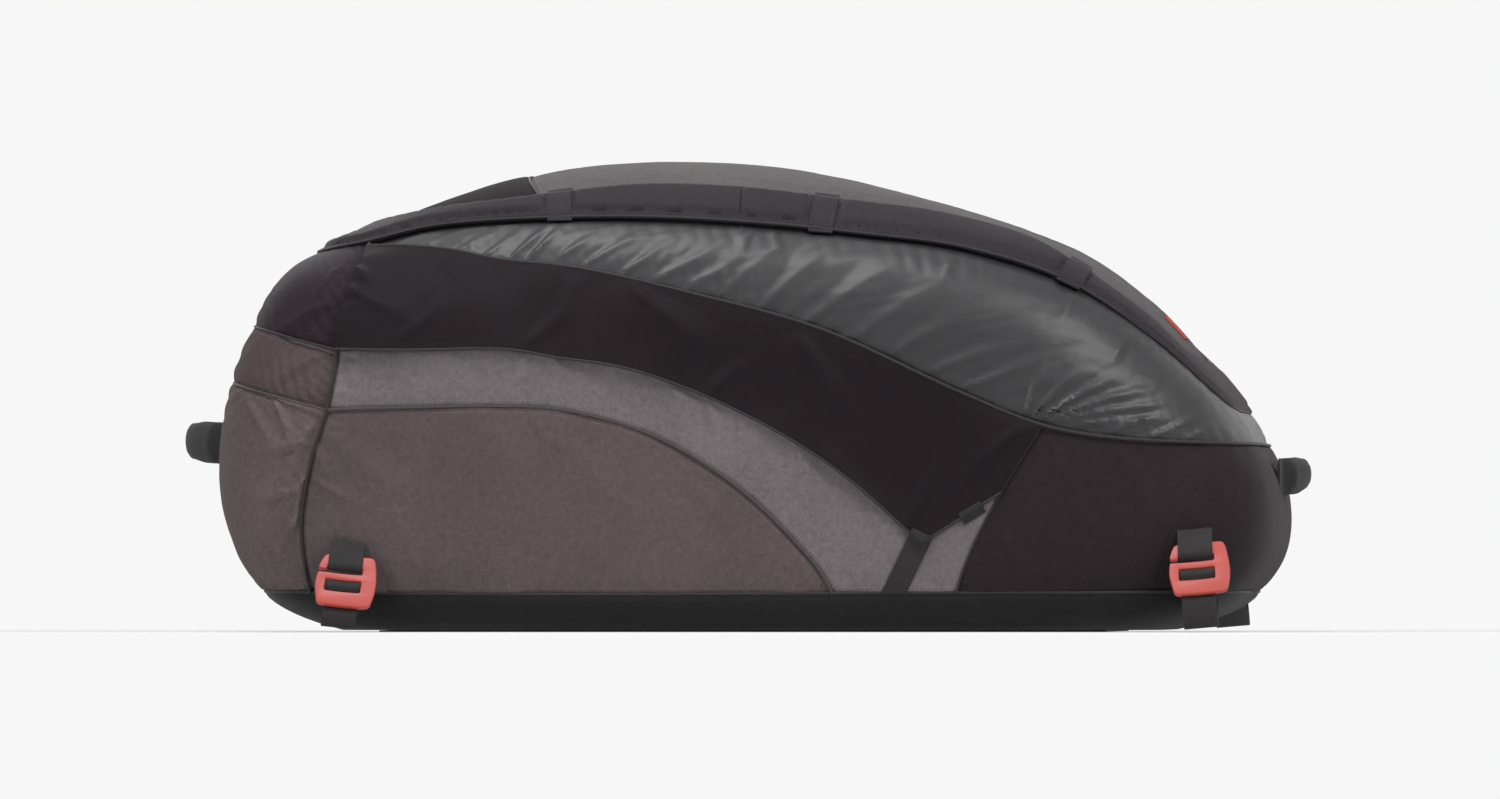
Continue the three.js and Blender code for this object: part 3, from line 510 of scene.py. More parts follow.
def point_column(made, name, values):
    column = made.data.attributes.new(name, "FLOAT", "POINT")
    column.data.foreach_set("value", np.asarray(values, np.float32))


def weave_layer(made, weave):
    layer = made.data.uv_layers.new(name="weave")
    corners = np.empty(len(made.data.loops), np.int32)
    made.data.loops.foreach_get("vertex_index", corners)
    layer.data.foreach_set("uv", np.asarray(weave[corners], np.float32).ravel())


def hang(made, material, stands_for=()):
    """Gives a finished piece its material, hangs it on the bag's body and hides the nodes that it stands for.
    """
    made.data.materials.clear()
    made.data.materials.append(material)
    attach(made, "root")
    if stands_for:
        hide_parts(*stands_for)
    return made


def edge_loops(faces):
    """The open edges of a mesh, each from its first point to its second."""
    edges = np.concatenate([faces[:, [0, 1]], faces[:, [1, 2]], faces[:, [2, 0]]])
    key = np.sort(edges, axis=1)
    unique, place, count = np.unique(key, axis=0, return_inverse=True, return_counts=True)
    return edges[count[place.reshape(-1)] == 1]


def panel(name, cloth, height, slot, near, flat_lay=False, tuck=3.0, side_thick=None, stands_for=None):
    """A cloth panel: the skin's part raised by its height, its edges tucked in or hemmed."""
    normals = cloth.normals()
    points = cloth["place"] + normals * height[:, None]
    points[:, 2] = np.maximum(points[:, 2], UNDERSIDE)
    faces = cloth.faces
    gaps = np.abs([cloth[seam + "_gap"] for seam in near])
    runs = np.stack([cloth[seam + "_run"] for seam in near])
    columns = {"seam_gap": gaps.min(axis=0), "seam_run": runs[gaps.argmin(axis=0), np.arange(len(points))]}
    weave = weave_map(cloth["place"], flat_lay)
    if side_thick is None:
        inner = points - normals * (tuck * MM)
        inner[:, 2] = np.maximum(inner[:, 2], UNDERSIDE)
        rim_edges = edge_loops(faces)
        border, places = np.unique(rim_edges, return_inverse=True)
        places = places.reshape(-1, 2) + len(points)
        first, last = rim_edges[:, 0], rim_edges[:, 1]
        skirt = np.concatenate([
            np.stack([last, first, places[:, 0]], axis=1),
            np.stack([last, places[:, 0], places[:, 1]], axis=1),
        ])
        points = np.concatenate([points, inner[border]])
        faces = np.concatenate([faces, skirt])
        columns = {key: np.concatenate([values, values[border]]) for key, values in columns.items()}
        weave = np.concatenate([weave, weave[border]])
    made = mesh_object("sewn_" + name, points, faces)
    for key, values in columns.items():
        point_column(made, key, values)
    weave_layer(made, weave)
    select_only(made)
    if side_thick is not None:
        hem = made.modifiers.new("hem", "SOLIDIFY")
        hem.thickness, hem.offset, hem.use_quality_normals = side_thick * MM, -1.0, True
        bpy.ops.object.modifier_apply(modifier=hem.name)
    bpy.ops.object.shade_smooth_by_angle(angle=PANEL_CREASE)
    return hang(made, dyes[slot], stands_for or [name])


class Wire:
    """A number that changes over a surface. Sums on it add their Math nodes."""

    def __init__(self, dye, socket):
        self.dye = dye
        self.socket = socket

    def sum(self, operation, *others):
        return self.dye.node("ShaderNodeMath", {"operation": operation}, dict(enumerate([self, *others])))

    def turned(self, operation, other):
        return self.dye.node("ShaderNodeMath", {"operation": operation}, {0: other, 1: self})

    def __add__(self, other):
        return self.sum("ADD", other)

    def __sub__(self, other):
        return self.sum("SUBTRACT", other)

    def __mul__(self, other):
        return self.sum("MULTIPLY", other)

    def __truediv__(self, other):
        return self.sum("DIVIDE", other)

    def __rsub__(self, other):
        return self.turned("SUBTRACT", other)

    def __rtruediv__(self, other):
        return self.turned("DIVIDE", other)

    __radd__ = __add__
    __rmul__ = __mul__

    def wave(self, length):
        """From -1 to 1, once up and down in this length."""
        return (self * (2 * math.pi / length)).sum("SINE")

    def limited(self):
        return self.sum("MINIMUM", 1.0).sum("MAXIMUM", 0.0)

    def size(self):
        return self.sum("ABSOLUTE")


class Dye:
    """A material and the nodes behind it."""

    def __init__(self, name, roughness=0.8, **constants):
        self.material = bpy.data.materials.new(name)
        self.material.use_nodes = True
        self.tree = self.material.node_tree
        self.shader = self.tree.nodes["Principled BSDF"]
        self.shader.inputs["Roughness"].default_value = roughness
        for socket, value in constants.items():
            self.shader.inputs[socket.replace("_", " ")].default_value = value

    def feed(self, socket, value):
        if isinstance(value, Wire):
            self.tree.links.new(value.socket, socket)
        else:
            socket.default_value = value

    def node(self, kind, settings=None, sockets=None, output=0):
        made = self.tree.nodes.new(kind)
        for key, value in (settings or {}).items():
            setattr(made, key, value)
        for key, value in (sockets or {}).items():
            self.feed(made.inputs[key], value)
        return Wire(self, made.outputs[output])

    def place(self):
        return self.node("ShaderNodeTexCoord", output="Object")

    def grain(self, scale, detail=2.0, stretch=None):
        place = self.place()
        if stretch:
            place = self.node("ShaderNodeMapping", {}, {"Vector": place, "Scale": stretch})
        return self.node("ShaderNodeTexNoise", {}, {"Vector": place, "Scale": scale, "Detail": detail})

    def column(self, name):
        return self.node("ShaderNodeAttribute", {"attribute_name": name}, output="Fac")

    def blend(self, factor, first, second):
        sockets = {0: factor, 6: first, 7: second}
        return self.node("ShaderNodeMix", {"data_type": "RGBA"}, sockets, output=2)

    def colour(self, value):
        self.feed(self.shader.inputs["Base Color"], value)

    def rough(self, value):
        self.feed(self.shader.inputs["Roughness"], value)

    def bump(self, height, strength=1.0):
        sockets = {"Height": height, "Strength": strength, "Distance": 1.0}
        self.feed(self.shader.inputs["Normal"], self.node("ShaderNodeBump", {}, sockets))


def shade(colour, times):
    return (*(min(1.0, part * times) for part in colour), 1.0)


def on_cloth(dye):
    """Where a point lies on its cloth: across it and along it."""
    lay = dye.node("ShaderNodeSeparateXYZ", {}, {0: dye.node("ShaderNodeUVMap", {"uv_map": "weave"})})
    return (Wire(dye, lay.socket.node.outputs[axis]) for axis in (0, 1))


def stitches(dye, run, inset=6.5, wide=0.8, pitch=4.6):
    """A groove beside the edges and the stitches in it, each from 0 to 1. Sizes are in mm."""
    groove = (1.0 - (dye.column("seam_gap") - inset * MM).size() / (wide * MM)).limited()
    return groove, groove * (run.wave(pitch * MM) * 3.0 + 1.2).limited()


def woven(name, colour, pitch=1.3, thread=0.06, roughness=0.85, mottle=0.3, thread_times=1.7, sheen=0.0,
          shine=0.12):
    """Woven cloth with mottled yarn, painted shade and grime along its seams, and a row of stitches on each
    side of its seams.
    """
    dye = Dye(name, roughness, Sheen_Weight=sheen, Sheen_Roughness=0.45, Specular_IOR_Level=shine)
    across, up = on_cloth(dye)
    threads = across.wave(pitch * MM) * up.wave(pitch * MM)
    yarn, melange, patches = dye.grain(420.0, 1.0), dye.grain(150.0, 3.0), dye.grain(9.0, 4.0)
    groove, stitch = stitches(dye, dye.column("seam_run"))
    # Painted shade and grime: the cloth's colour darkens within 2.4 mm of its seams, in the dip where it is
    # sewn
    seam_shade_and_grime = (1.0 - dye.column("seam_gap") / (2.4 * MM)).limited()
    tone = 0.5 + (yarn - 0.5) * 0.8 + (melange - 0.5) * 0.9 + (patches - 0.5) * 0.7
    tone = (tone + threads * 0.12 - seam_shade_and_grime * 0.5).limited()
    cloth = dye.blend(tone, shade(colour, 1 - mottle), shade(colour, 1 + mottle))
    dye.colour(dye.blend(stitch * 0.75, cloth, shade(colour, thread_times)))
    dye.rough(roughness - 0.10 + yarn * 0.2)
    dye.bump(threads * (thread * MM) + yarn * (0.06 * MM) + stitch * (0.35 * MM) - groove * (0.3 * MM))
    return dye.material


def coated(name, colour, roughness=0.44):
    """Coated cloth with a wet sheen and fine crinkles."""
    dye = Dye(name, roughness, Specular_IOR_Level=0.32, Coat_Weight=0.1, Coat_Roughness=0.28)
    fine, broad = dye.grain(70.0, 5.0), dye.grain(14.0, 3.0)
    groove, stitch = stitches(dye, dye.column("seam_run"))
    tone = (0.5 + (fine - 0.5) * 0.6 + (broad - 0.5) * 0.8).limited()
    cloth = dye.blend(tone, shade(colour, 0.86), shade(colour, 1.16))
    dye.colour(dye.blend(stitch * 0.6, cloth, shade(colour, 1.8)))
    dye.rough(roughness - 0.07 + fine * 0.14)
    dye.bump(fine * (0.6 * MM) + stitch * (0.35 * MM) - groove * (0.3 * MM), 0.8)
    return dye.material


def ribbed(name, colour):
    """Webbing with a chevron weave and a row of stitches along each edge."""
    dye = Dye(name, 0.68, Sheen_Weight=0.05, Sheen_Roughness=0.4, Specular_IOR_Level=0.25)
    across, run = on_cloth(dye)
    chevron = (across / (5.5 * MM)).sum("PINGPONG", 1.0) * (2.2 * MM)
    ribs = (run + chevron).wave(1.5 * MM)
    groove, stitch = stitches(dye, run, 3.5, 0.7, 4.0)
    yarn = dye.grain(600.0, 1.0)
    tone = (0.45 + ribs * 0.28 + (yarn - 0.5) * 0.5).limited()
    cloth = dye.blend(tone, shade(colour, 0.6), shade(colour, 1.9))
    dye.colour(dye.blend(stitch * 0.5, cloth, shade(colour, 3.2)))
    dye.bump(ribs * (0.10 * MM) + stitch * (0.3 * MM) - groove * (0.2 * MM))
    return dye.material


def moulded(name, colour):
    """Plastic with a fine grain."""
    dye = Dye(name, 0.38, Specular_IOR_Level=0.5)
    grain = dye.grain(1500.0, 2.0)
    dye.colour(dye.blend(dye.grain(40.0, 2.0), shade(colour, 0.9), shade(colour, 1.08)))
    dye.rough(0.33 + grain * 0.14)
    dye.bump(grain * (0.03 * MM))
    return dye.material


def grainy(name, roughness, low, high, scale, deep, stretch=None, **constants):
    """A material mottled between two colours by one grain."""
    dye = Dye(name, roughness, **constants)
    grain = dye.grain(scale, 2.0, stretch)
    dye.colour(dye.blend(grain, shade(low, 1), shade(high, 1)))
    dye.bump(grain * (deep * MM))
    return dye.material


def brushed(name):
    """Metal brushed along its length."""
    dye = Dye(name, 0.38, Metallic=1.0)
    strokes = dye.grain(300.0, 3.0, (1.0, 6.0, 1.0))
    dye.colour(dye.blend(strokes, (0.26, 0.26, 0.27, 1), (0.42, 0.42, 0.43, 1)))
    dye.rough(0.30 + strokes * 0.2)
    return dye.material


CANVAS = {
    "lower_cloth": (0.098, 0.078, 0.081),
    "light_cloth": (0.156, 0.137, 0.145),
    "rear_middle_cloth": (0.086, 0.064, 0.067),
    "rear_lower_cloth": (0.118, 0.093, 0.098),
    "top_cloth": (0.112, 0.104, 0.106),
}
FINE_CLOTHS = {
    "base_cloth": {"colour": (0.012, 0.012, 0.012), "roughness": 0.6, "sheen": 0.03},
    "front_cloth": {"colour": (0.020, 0.014, 0.016), "thread_times": 1.5, "roughness": 0.62, "shine": 0.1},
    "wing_cloth": {
        "colour": (0.012, 0.008, 0.010), "pitch": 1.0, "thread": 0.04, "mottle": 0.2, "roughness": 0.58,
        "shine": 0.08,
    },
    "rear_upper_cloth": {"colour": (0.021, 0.014, 0.018), "roughness": 0.62, "shine": 0.08},
    "yoke_cloth": {"colour": (0.024, 0.019, 0.021), "shine": 0.06},
    "flap_cloth": {
        "colour": (0.031, 0.025, 0.029), "pitch": 1.1, "thread": 0.035, "thread_times": 0.55,
        "roughness": 0.65, "shine": 0.1,
    },
    "badge_cloth": {"colour": (0.52, 0.075, 0.055), "pitch": 0.9, "roughness": 0.7},
}
CORD = {"scale": 900.0, "deep": 0.15, "Sheen_Weight": 0.05, "Specular_IOR_Level": 0.25}
dyes = {name: woven(name, colour, pitch=1.6, thread=0.08) for name, colour in CANVAS.items()}
dyes.update({name: woven(name, **settings) for name, settings in FINE_CLOTHS.items()})
dyes["gloss_cloth"] = coated("gloss_cloth", (0.026, 0.025, 0.027))
dyes["webbing"] = ribbed("webbing", (0.016, 0.0145, 0.0145))
dyes["hook_plastic"] = moulded("hook_plastic", (0.42, 0.050, 0.036))
dyes["zip_metal"] = brushed("zip_metal")
dyes["lining"] = grainy("lining", 0.8, (0.010, 0.010, 0.010), (0.022, 0.021, 0.021), 700.0, 0.1,
                        Specular_IOR_Level=0.2)
dyes["piping_cord"] = grainy("piping_cord", 0.62, (0.014, 0.012, 0.013), (0.036, 0.031, 0.033), **CORD)
dyes["piping_grey"] = grainy("piping_grey", 0.62, (0.040, 0.034, 0.035), (0.085, 0.074, 0.076), **CORD)
dyes["zip_tape"] = grainy("zip_tape", 0.6, (0.010, 0.010, 0.011), (0.024, 0.024, 0.026), 260.0, 0.4,
                          (1.0, 1.0, 4.0), Specular_IOR_Level=0.4)
dyes["base_panel"] = grainy("base_panel", 0.55, (0.009, 0.009, 0.009), (0.018, 0.018, 0.018), 350.0, 0.3,
                            Specular_IOR_Level=0.4)


def settled(cloth, seed, swell=2.5, small=0.7):
    """The load's uneven swell under a panel, and small unevenness in the cloth."""
    place = cloth["place"]
    broad = swells(place, 0.16, seed) * swell
    middle = swells(place, 0.055, seed + 1) * small
    return (broad + middle + swells(place, 0.02, seed + 2) * small * 0.25) * MM


def on_side(cloth):
    """1 where a panel faces sideways, 0 where it faces up or to an end."""
    return rise_between(np.abs(cloth["normal"][:, 1]), 0.15, 0.5)


def right_and_left(cloth):
    side = cloth["place"][:, 1]
    return {"right": cloth.where(-side), "left": cloth.where(side)}


def at_end(cloth):
    """1 where a panel faces an end, 0 where it faces up or sideways."""
    return rise_between(np.abs(cloth["normal"][:, 0]), 0.25, 0.7)


def sinks(height, inside, start, deep):
    """A height that sinks to a depth, in mm, with the distance inside the flap's edge."""
    under = rise_between(inside, start * MM, 3 * MM)
    return height * (1 - under) - deep * MM * under


skin = skin_cloth()
over_base = skin.over("base")
below_gloss = over_base.under("gloss")
middle_wall = below_gloss.under("front").over("rear")
behind_rear = over_base.under("rear")
flap_zone = over_base.over("flap_low").under("flap_high")

# Base cloth, turned up to the base seam
base = skin.under("base")
base_height = np.where(base["place"][:, 2] > UNDERSIDE, sewn_in(base["base_gap"], 1.5, 10), 0)
base_height = base_height + np.where(base["place"][:, 2] > 0.008, settled(base, 11, 0.8, 0.4), 0)
panel("base_cloth", base, base_height, "base_cloth", ["base"], stands_for=["bag_body"])

# Lining: a closed skin just behind the panels
lining_points, lining_faces = box_grid(LINING_CELLS)
lining_points = onto_skin(lining_points)
lining_points -= skin_normals(lining_points) * LINING_DEPTH
hang(mesh_object("lining", lining_points, lining_faces), dyes["lining"])


def front_height(cloth):
    height = sewn(cloth, [("gloss",), ("front", 1.2, 8), ("base",)],
                  [("gloss", 16, 1.6, 22, 21), ("base", 24, 1.4, 20, 24)])
    height += ridge(cloth, NOSE_FOLDS) * on_side(cloth) + streaks(cloth, 70, 0.12, 0.03, 29) * 1.2 * MM
    return height + settled(cloth, 27)


def lower_height(cloth):
    height = sewn(cloth, [("piped", 2.0, 14), ("rear",), ("base",)],
                  [("rear", 13, 3.6, 26, 31, 0.4), ("piped", 22, 1.2, 14, 34), ("base", 28, 1.2, 22, 37)])
    height += ridge(cloth, CANVAS_FOLDS) + streaks(cloth, -62, 0.16, 0.035, 44) * 2.2 * MM
    return height + settled(cloth, 41, 2.0, 0.6)


def light_height(cloth):
    height = sewn(cloth, [("piped", 2.0, 14), ("rear",), ("base",), ("front", 1.2, 8), ("gloss",)],
                  [("piped", 20, 2.0, 18, 51), ("rear", 14, 3.2, 22, 54), ("wing", 26, 1.8, 30, 59, 0.3)])
    height += ridge(cloth, BAND_FOLDS) + streaks(cloth, -70, 0.08, 0.022, 55) * 1.8 * MM
    height += settled(cloth, 57, 1.5, 0.6)
    return np.where(cloth["wing"] > 0.02, np.minimum(height, 0), height)


def wing_height(cloth):
    lift = np.exp(-np.abs(cloth["wing_gap"]) / 0.03)
    wavy = 0.5 + 0.5 * swells(np.stack([cloth["wing_run"]] * 3, axis=1), 0.07, 131)
    height = 3.0 * MM + (1.8 + 4.2 * wavy) * MM * lift
    height += sewn(cloth, [("gloss",), ("rear", 2.0, 12), ("front", 1.5, 9)],
                   [("gloss", 26, 1.8, 20, 134, 0.4), ("rear", 18, 1.6, 20, 135, 0.4)])
    height += ridge(cloth, WING_FOLDS) + streaks(cloth, -50, 0.16, 0.05, 136) * 3.4 * MM
    height += streaks(cloth, 28, 0.14, 0.035, 138) * 1.6 * MM + settled(cloth, 139, 3.0, 1.2)
    return np.maximum(height, 1.8 * MM)


def rear_height(cloth, part):
    height = settled(cloth, 61, 2.2, 0.9) + ridge(cloth, REAR_FOLDS) * on_side(cloth)
    height += streaks(cloth, 62, 0.11, 0.034, 63) * 1.3 * MM + streaks(cloth, 20, 0.07, 0.021, 65) * 0.7 * MM
    gathers = [(seam, 14, 3.8, 26, 64 + 3 * turn, 0.5) for turn, seam in enumerate(REAR_SEAMS[part])]
    return height + sewn(cloth, [(seam,) for seam in REAR_SEAMS[part]], gathers)


def gloss_height(cloth):
    height = sewn(cloth, [("gloss", 3.5, 26), ("flap_low", 3.0, 22)], [
        ("gloss", 17, 2.4, 20, 91, 0.5), ("flap_low", 21, 2.2, 20, 94, -0.5), ("rear", 12, 1.4, 18, 97),
    ])
    height += ridge(cloth, GLOSS_FOLDS) * on_side(cloth) + settled(cloth, 99, 2.5, 0.6)
    lean = np.interp(cloth["place"][:, 0], (-0.3, 0.0, 0.2, 0.45), (48, 56, 46, 24))
    near_seam = 0.35 + 0.65 * np.exp(-np.abs(cloth["gloss_gap"]) / 0.05)
    height += crumple(cloth, lean, 0.10, 0.016, 103) * near_seam * 0.9 * MM
    height += crumple(cloth, 12, 0.07, 0.011, 107) * 0.45 * MM
    height += streaks(cloth, lean, 0.20, 0.045, 105) * 1.8 * MM
    height = sinks(height, cloth["flap_low"], -9, 5.5 - 3.5 * at_end(cloth))
    return np.where(cloth["flap_low"] > 0.004, np.minimum(height, 0), height)


def lid_height(cloth, gathers, load, clear):
    """A panel inside the flap: puckered along it, and swollen by the load further in."""
    height = sewn(cloth, [("flap_high", 2.5, 24), ("yoke", 1.5, 12)], [("flap_high", *gathers)])
    height += settled(cloth, *load) * rise_between(cloth["flap_high_gap"], 0.004, clear)
    return sinks(height, -cloth["flap_high"], -5, 4)


def top_height(cloth):
    return lid_height(cloth, (26, 1.6, 26, 111), (114, 3.0, 0.7), 0.05)


def on_both_sides(name, cloth, height_of, slot, near, **more):
    """Two panels, one on each side of the bag."""
    for side, half in right_and_left(cloth).items():
        panel(f"{name}_{side}", half, height_of(half), slot, near, **more)


front = below_gloss.over("front")
panel("front_panel", front, front_height(front), "front_cloth", ["gloss", "front", "base"])
WALL_SEAMS = ["piped", "rear", "base"]
on_both_sides("lower_side_panel", middle_wall.under("piped"), lower_height, "lower_cloth", WALL_SEAMS)
on_both_sides("light_side_panel", middle_wall.over("piped"), light_height, "light_cloth", WALL_SEAMS)

REAR_SEAMS = {
    "rear_upper": ["rear_upper", "rear"],
    "rear_middle": ["rear_upper", "rear_lower", "rear"],
    "rear_lower": ["rear_lower", "rear", "base"],
}
rear_cloths = {
    "rear_upper": behind_rear.over("rear_upper").under("flap_high"),
    "rear_middle": behind_rear.under("rear_upper").over("rear_lower"),
    "rear_lower": behind_rear.under("rear_lower"),
}
for part, cloth in rear_cloths.items():
    panel(part + "_panel", cloth, rear_height(cloth, part), part + "_cloth", REAR_SEAMS[part])

upper = over_base.over("gloss").over("rear").under("flap_high")
on_both_sides("upper_side_panel", upper, gloss_height, "gloss_cloth", ["gloss", "rear"])

lid = over_base.over("flap_low")
top = lid.over("yoke")
top = top.where(top["flap_high"] + LID_MARGIN)
panel("top_panel", top, top_height(top), "top_cloth", ["flap_high", "yoke"], True)
yoke = lid.under("yoke")
yoke = yoke.where(yoke["flap_high"] + LID_MARGIN)
yoke_height = lid_height(yoke, (22, 1.8, 24, 121), (124, 2.0, 0.8), 0.04)
panel("rear_yoke", yoke, yoke_height, "yoke_cloth", ["flap_high", "yoke"], True)

wing_cloth = middle_wall.over("wing")
on_both_sides("wing", wing_cloth, wing_height, "wing_cloth", ["wing", "gloss", "rear", "front"],
              side_thick=1.4)


def along(line, shares):
    """Points at these shares of a line's length."""
    run = run_along(line)
    return np.stack([np.interp(shares * run[-1], run, line[:, axis]) for axis in (0, 1)], axis=-1)


# The storm flap: hems, padded segments between the tabs, and the tabs over their gaps
flap_edges = [smooth_line(in_metres(ALONG_SEAMS[seam])) for seam in ("flap_low", "flap_high")]
flap_middle = sum(along(line, np.linspace(0, 1, FLAP_STEPS)) for line in flap_edges) / 2
tab_lines = []
for place in TAB_PLACES:
    middle = np.argmin(np.abs(flap_middle[:, 0] - (place - 0.5) * LENGTH))
    direction = flap_middle[middle + 1] - flap_middle[middle - 1]
    tab_lines.append((flap_middle[middle], direction / np.linalg.norm(direction)))


def from_tab(points, middle, direction):
    """Distance from a tab's middle line, on the tab's own stretch of the flap."""
    offset = points[:, [0, 2]] - middle
    return np.abs(np.where(np.linalg.norm(offset, axis=1) < TAB_STRETCH, offset @ direction, 1.0))


def rounded(inside, radius):
    """A quarter circle from 0 at the edge to 1 at this distance inside it."""
    return np.sqrt(np.clip(1 - (1 - np.clip(inside / radius, 0, 1)) ** 2, 0, 1))


def flap_height(cloth):
    edge = np.minimum(np.abs(cloth["flap_low_gap"]), np.abs(cloth["flap_high_gap"]))
    tab = np.min([from_tab(cloth["place"], *line) for line in tab_lines], axis=0)
    height = HEM_HIGH * (0.25 + 0.75 * rounded(edge, 3.0 * MM))
    inside = np.minimum(edge - HEM_WIDE, tab - TAB_GAP)
    height += (PAD_HIGH - HEM_HIGH) * rounded(inside, 9.0 * MM)
    height -= 1.2 * MM * np.exp(-((inside / (1.6 * MM)) ** 2))
    height += puckers(edge - HEM_WIDE, cloth["flap_low_run"], 18, 1.2, 12, 141)
    return height * (1 - 0.75 * at_end(cloth))


flap = panel("storm_flap", flap_zone, flap_height(flap_zone) + settled(flap_zone, 147, 0.8, 0.5),
             "flap_cloth", ["flap_low", "flap_high"], tuck=3.5)
for number, line in enumerate(tab_lines):
    for side, cloth in right_and_left(over_base).items():
        cloth = cloth.where(TAB_NEAR - from_tab(cloth["place"], *line))
        cloth = cloth.where(TAB_OVER + np.minimum(cloth["flap_low"], -cloth["flap_high"]))
        cloth = cloth.where(TAB_HALF - from_tab(cloth["place"], *line))
        on_flap = rise_between(np.minimum(cloth["flap_low"], -cloth["flap_high"]), -0.001, 0.003)
        height = 2.0 * MM + HEM_HIGH * on_flap + 0.5 * MM * swells(cloth["place"], 0.02, 151)
        panel(f"flap_tab_{number + 1}_{side}", cloth, height, "flap_cloth", ["flap_low", "flap_high"],
              side_thick=1.8)


def chained(edges):
    """Edges, each from one point to the next, as whole lines of point numbers."""
    after = dict(edges.tolist())
    starts = sorted(set(after) - set(after.values()))
    lines = []
    while after:
        at = starts.pop(0) if starts else min(after)
        line = [at]
        while at in after:
            at = after.pop(at)
            line.append(at)
        if len(line) > 12:
            lines.append(line)
    return lines


def eased(line, times=4):
    """A line with its small kinks taken out, its ends kept."""
    line = line.copy()
    for _ in range(times):
        line[1:-1] = (line[:-2] + 2 * line[1:-1] + line[2:]) / 4
    return line


def piping(name, cloth, seam, radius, lift, slot):
    """A round cord along the cloth's edge at a seam. Lift is the height of its middle, in mm."""
    rim_edges = edge_loops(cloth.faces)
    on_seam = np.abs(cloth[seam]) < 2e-5
    rim_edges = rim_edges[on_seam[rim_edges].all(axis=1)]
    points = cloth["place"] + cloth.normals() * (np.reshape(lift, (-1, 1)) * MM)
    lines = [eased(points[line]) for line in chained(rim_edges)]
    made = curve_mesh(name, lines, dimensions="3D", bevel_depth=radius * MM, bevel_resolution=2,
                      use_fill_caps=True)
    bpy.ops.object.shade_smooth()
    hang(made, dyes["piping_grey" if slot == "lower_cloth" else "piping_cord"])


under_flap = over_base.under("flap_low")
gloss_edge = under_flap.over("rear").over("gloss")
binding_lift = 1.6 - 3.0 * at_end(flap_zone)
PIPING = {  # cloth, seam, radius and lift in mm, slot
    "piping_rear": (under_flap.over("rear"), "rear", 1.9, -1.4, "front_cloth"),
    "piping_arch": (middle_wall.under("piped"), "piped", 1.5, -1.6, "lower_cloth"),
    "piping_gloss": (gloss_edge, "gloss", 1.9, 0.8 - 3.0 * at_end(gloss_edge), "front_cloth"),
    "piping_front": (below_gloss.over("front"), "front", 1.1, -0.4, "front_cloth"),
    "piping_rear_upper": (behind_rear.over("rear_upper"), "rear_upper", 1.3, -1.6, "front_cloth"),
    "piping_rear_lower": (behind_rear.under("rear_lower"), "rear_lower", 1.3, -1.6, "lower_cloth"),
    "piping_base": (over_base, "base", 1.8, -3.4, "base_cloth"),
    "piping_yoke": (over_base.over("flap_high").over("yoke"), "yoke", 1.3, -1.2, "yoke_cloth"),
    "wing_hem": (wing_cloth, "wing", 1.5, wing_height(wing_cloth) / MM - 0.7, "wing_cloth"),
    "flap_binding_low": (flap_zone, "flap_low", 1.7, binding_lift, "flap_cloth"),
    "flap_binding_high": (flap_zone, "flap_high", 1.7, binding_lift, "flap_cloth"),
}
for name, settings in PIPING.items():
    piping(name, *settings)

# Webbing, patches and hooks
STRAP_WIDE = 38 * MM
WEBBING = 2.4 * MM
HOOK_LEAN = math.radians(31)
STRAP_OUT = 0.520  # distance of the strap's upright run from the bag's middle plane
HOOKS = {
    "rear": {"x": (0.128 - 0.5) * LENGTH, "foot": 28 * MM, "twist": math.radians(6), "cloth": "lower_cloth"},
    "front": {
        "x": (0.936 - 0.5) * LENGTH, "foot": 42 * MM, "twist": math.radians(-5), "cloth": "front_cloth",
    },
}
HOOK_TALL = 64 * MM
WINDOW_SHIFT = -3 * MM
HOOK_OUTLINE = [  # across and up in mm, with the size of the rounding
    (-29, 0, 6), (0, -0.8, 8), (29, 0, 7), (34.5, 26, 14), (31, 55, 12), (28, 64, 5), (-26, 64, 6),
    (-31.5, 50, 6), (-31.5, 45, 1.5), (-22.7, 44.5, 1.6), (-22.7, 48, 1.6), (16.7, 48, 1.6),
    (16.7, 41, 1.6), (-3, 40.2, 20), (-32, 41, 2.5), (-34, 25, 8),
]
HOOK_SLOT = [
    (-22.7, 18, 2), (-3, 17.2, 20), (16.7, 18, 2), (16.7, 32.5, 2), (-3, 31.7, 20), (-22.7, 32.5, 2),
]
HOOK_LOOP = [  # the webbing round the hook's top bar, as mm out from its plate and up along it
    (2.35, 69), (4.7, 60), (4.7, 50), (0, 46.1), (-4.7, 50), (-4.7, 61), (-2.82, 69),
]
HOOK_TAIL = [(1.2, 30.9), (1.6, 25.25), (-1.0, 21.2), (-4.7, 16), (-4.7, 0)]  # the strap in its slot
ANCHOR_HIGH, ANCHOR_TOP, ANCHOR_FOOT, ANCHOR_OVER = 62 * MM, 46 * MM, 84 * MM, 20 * MM


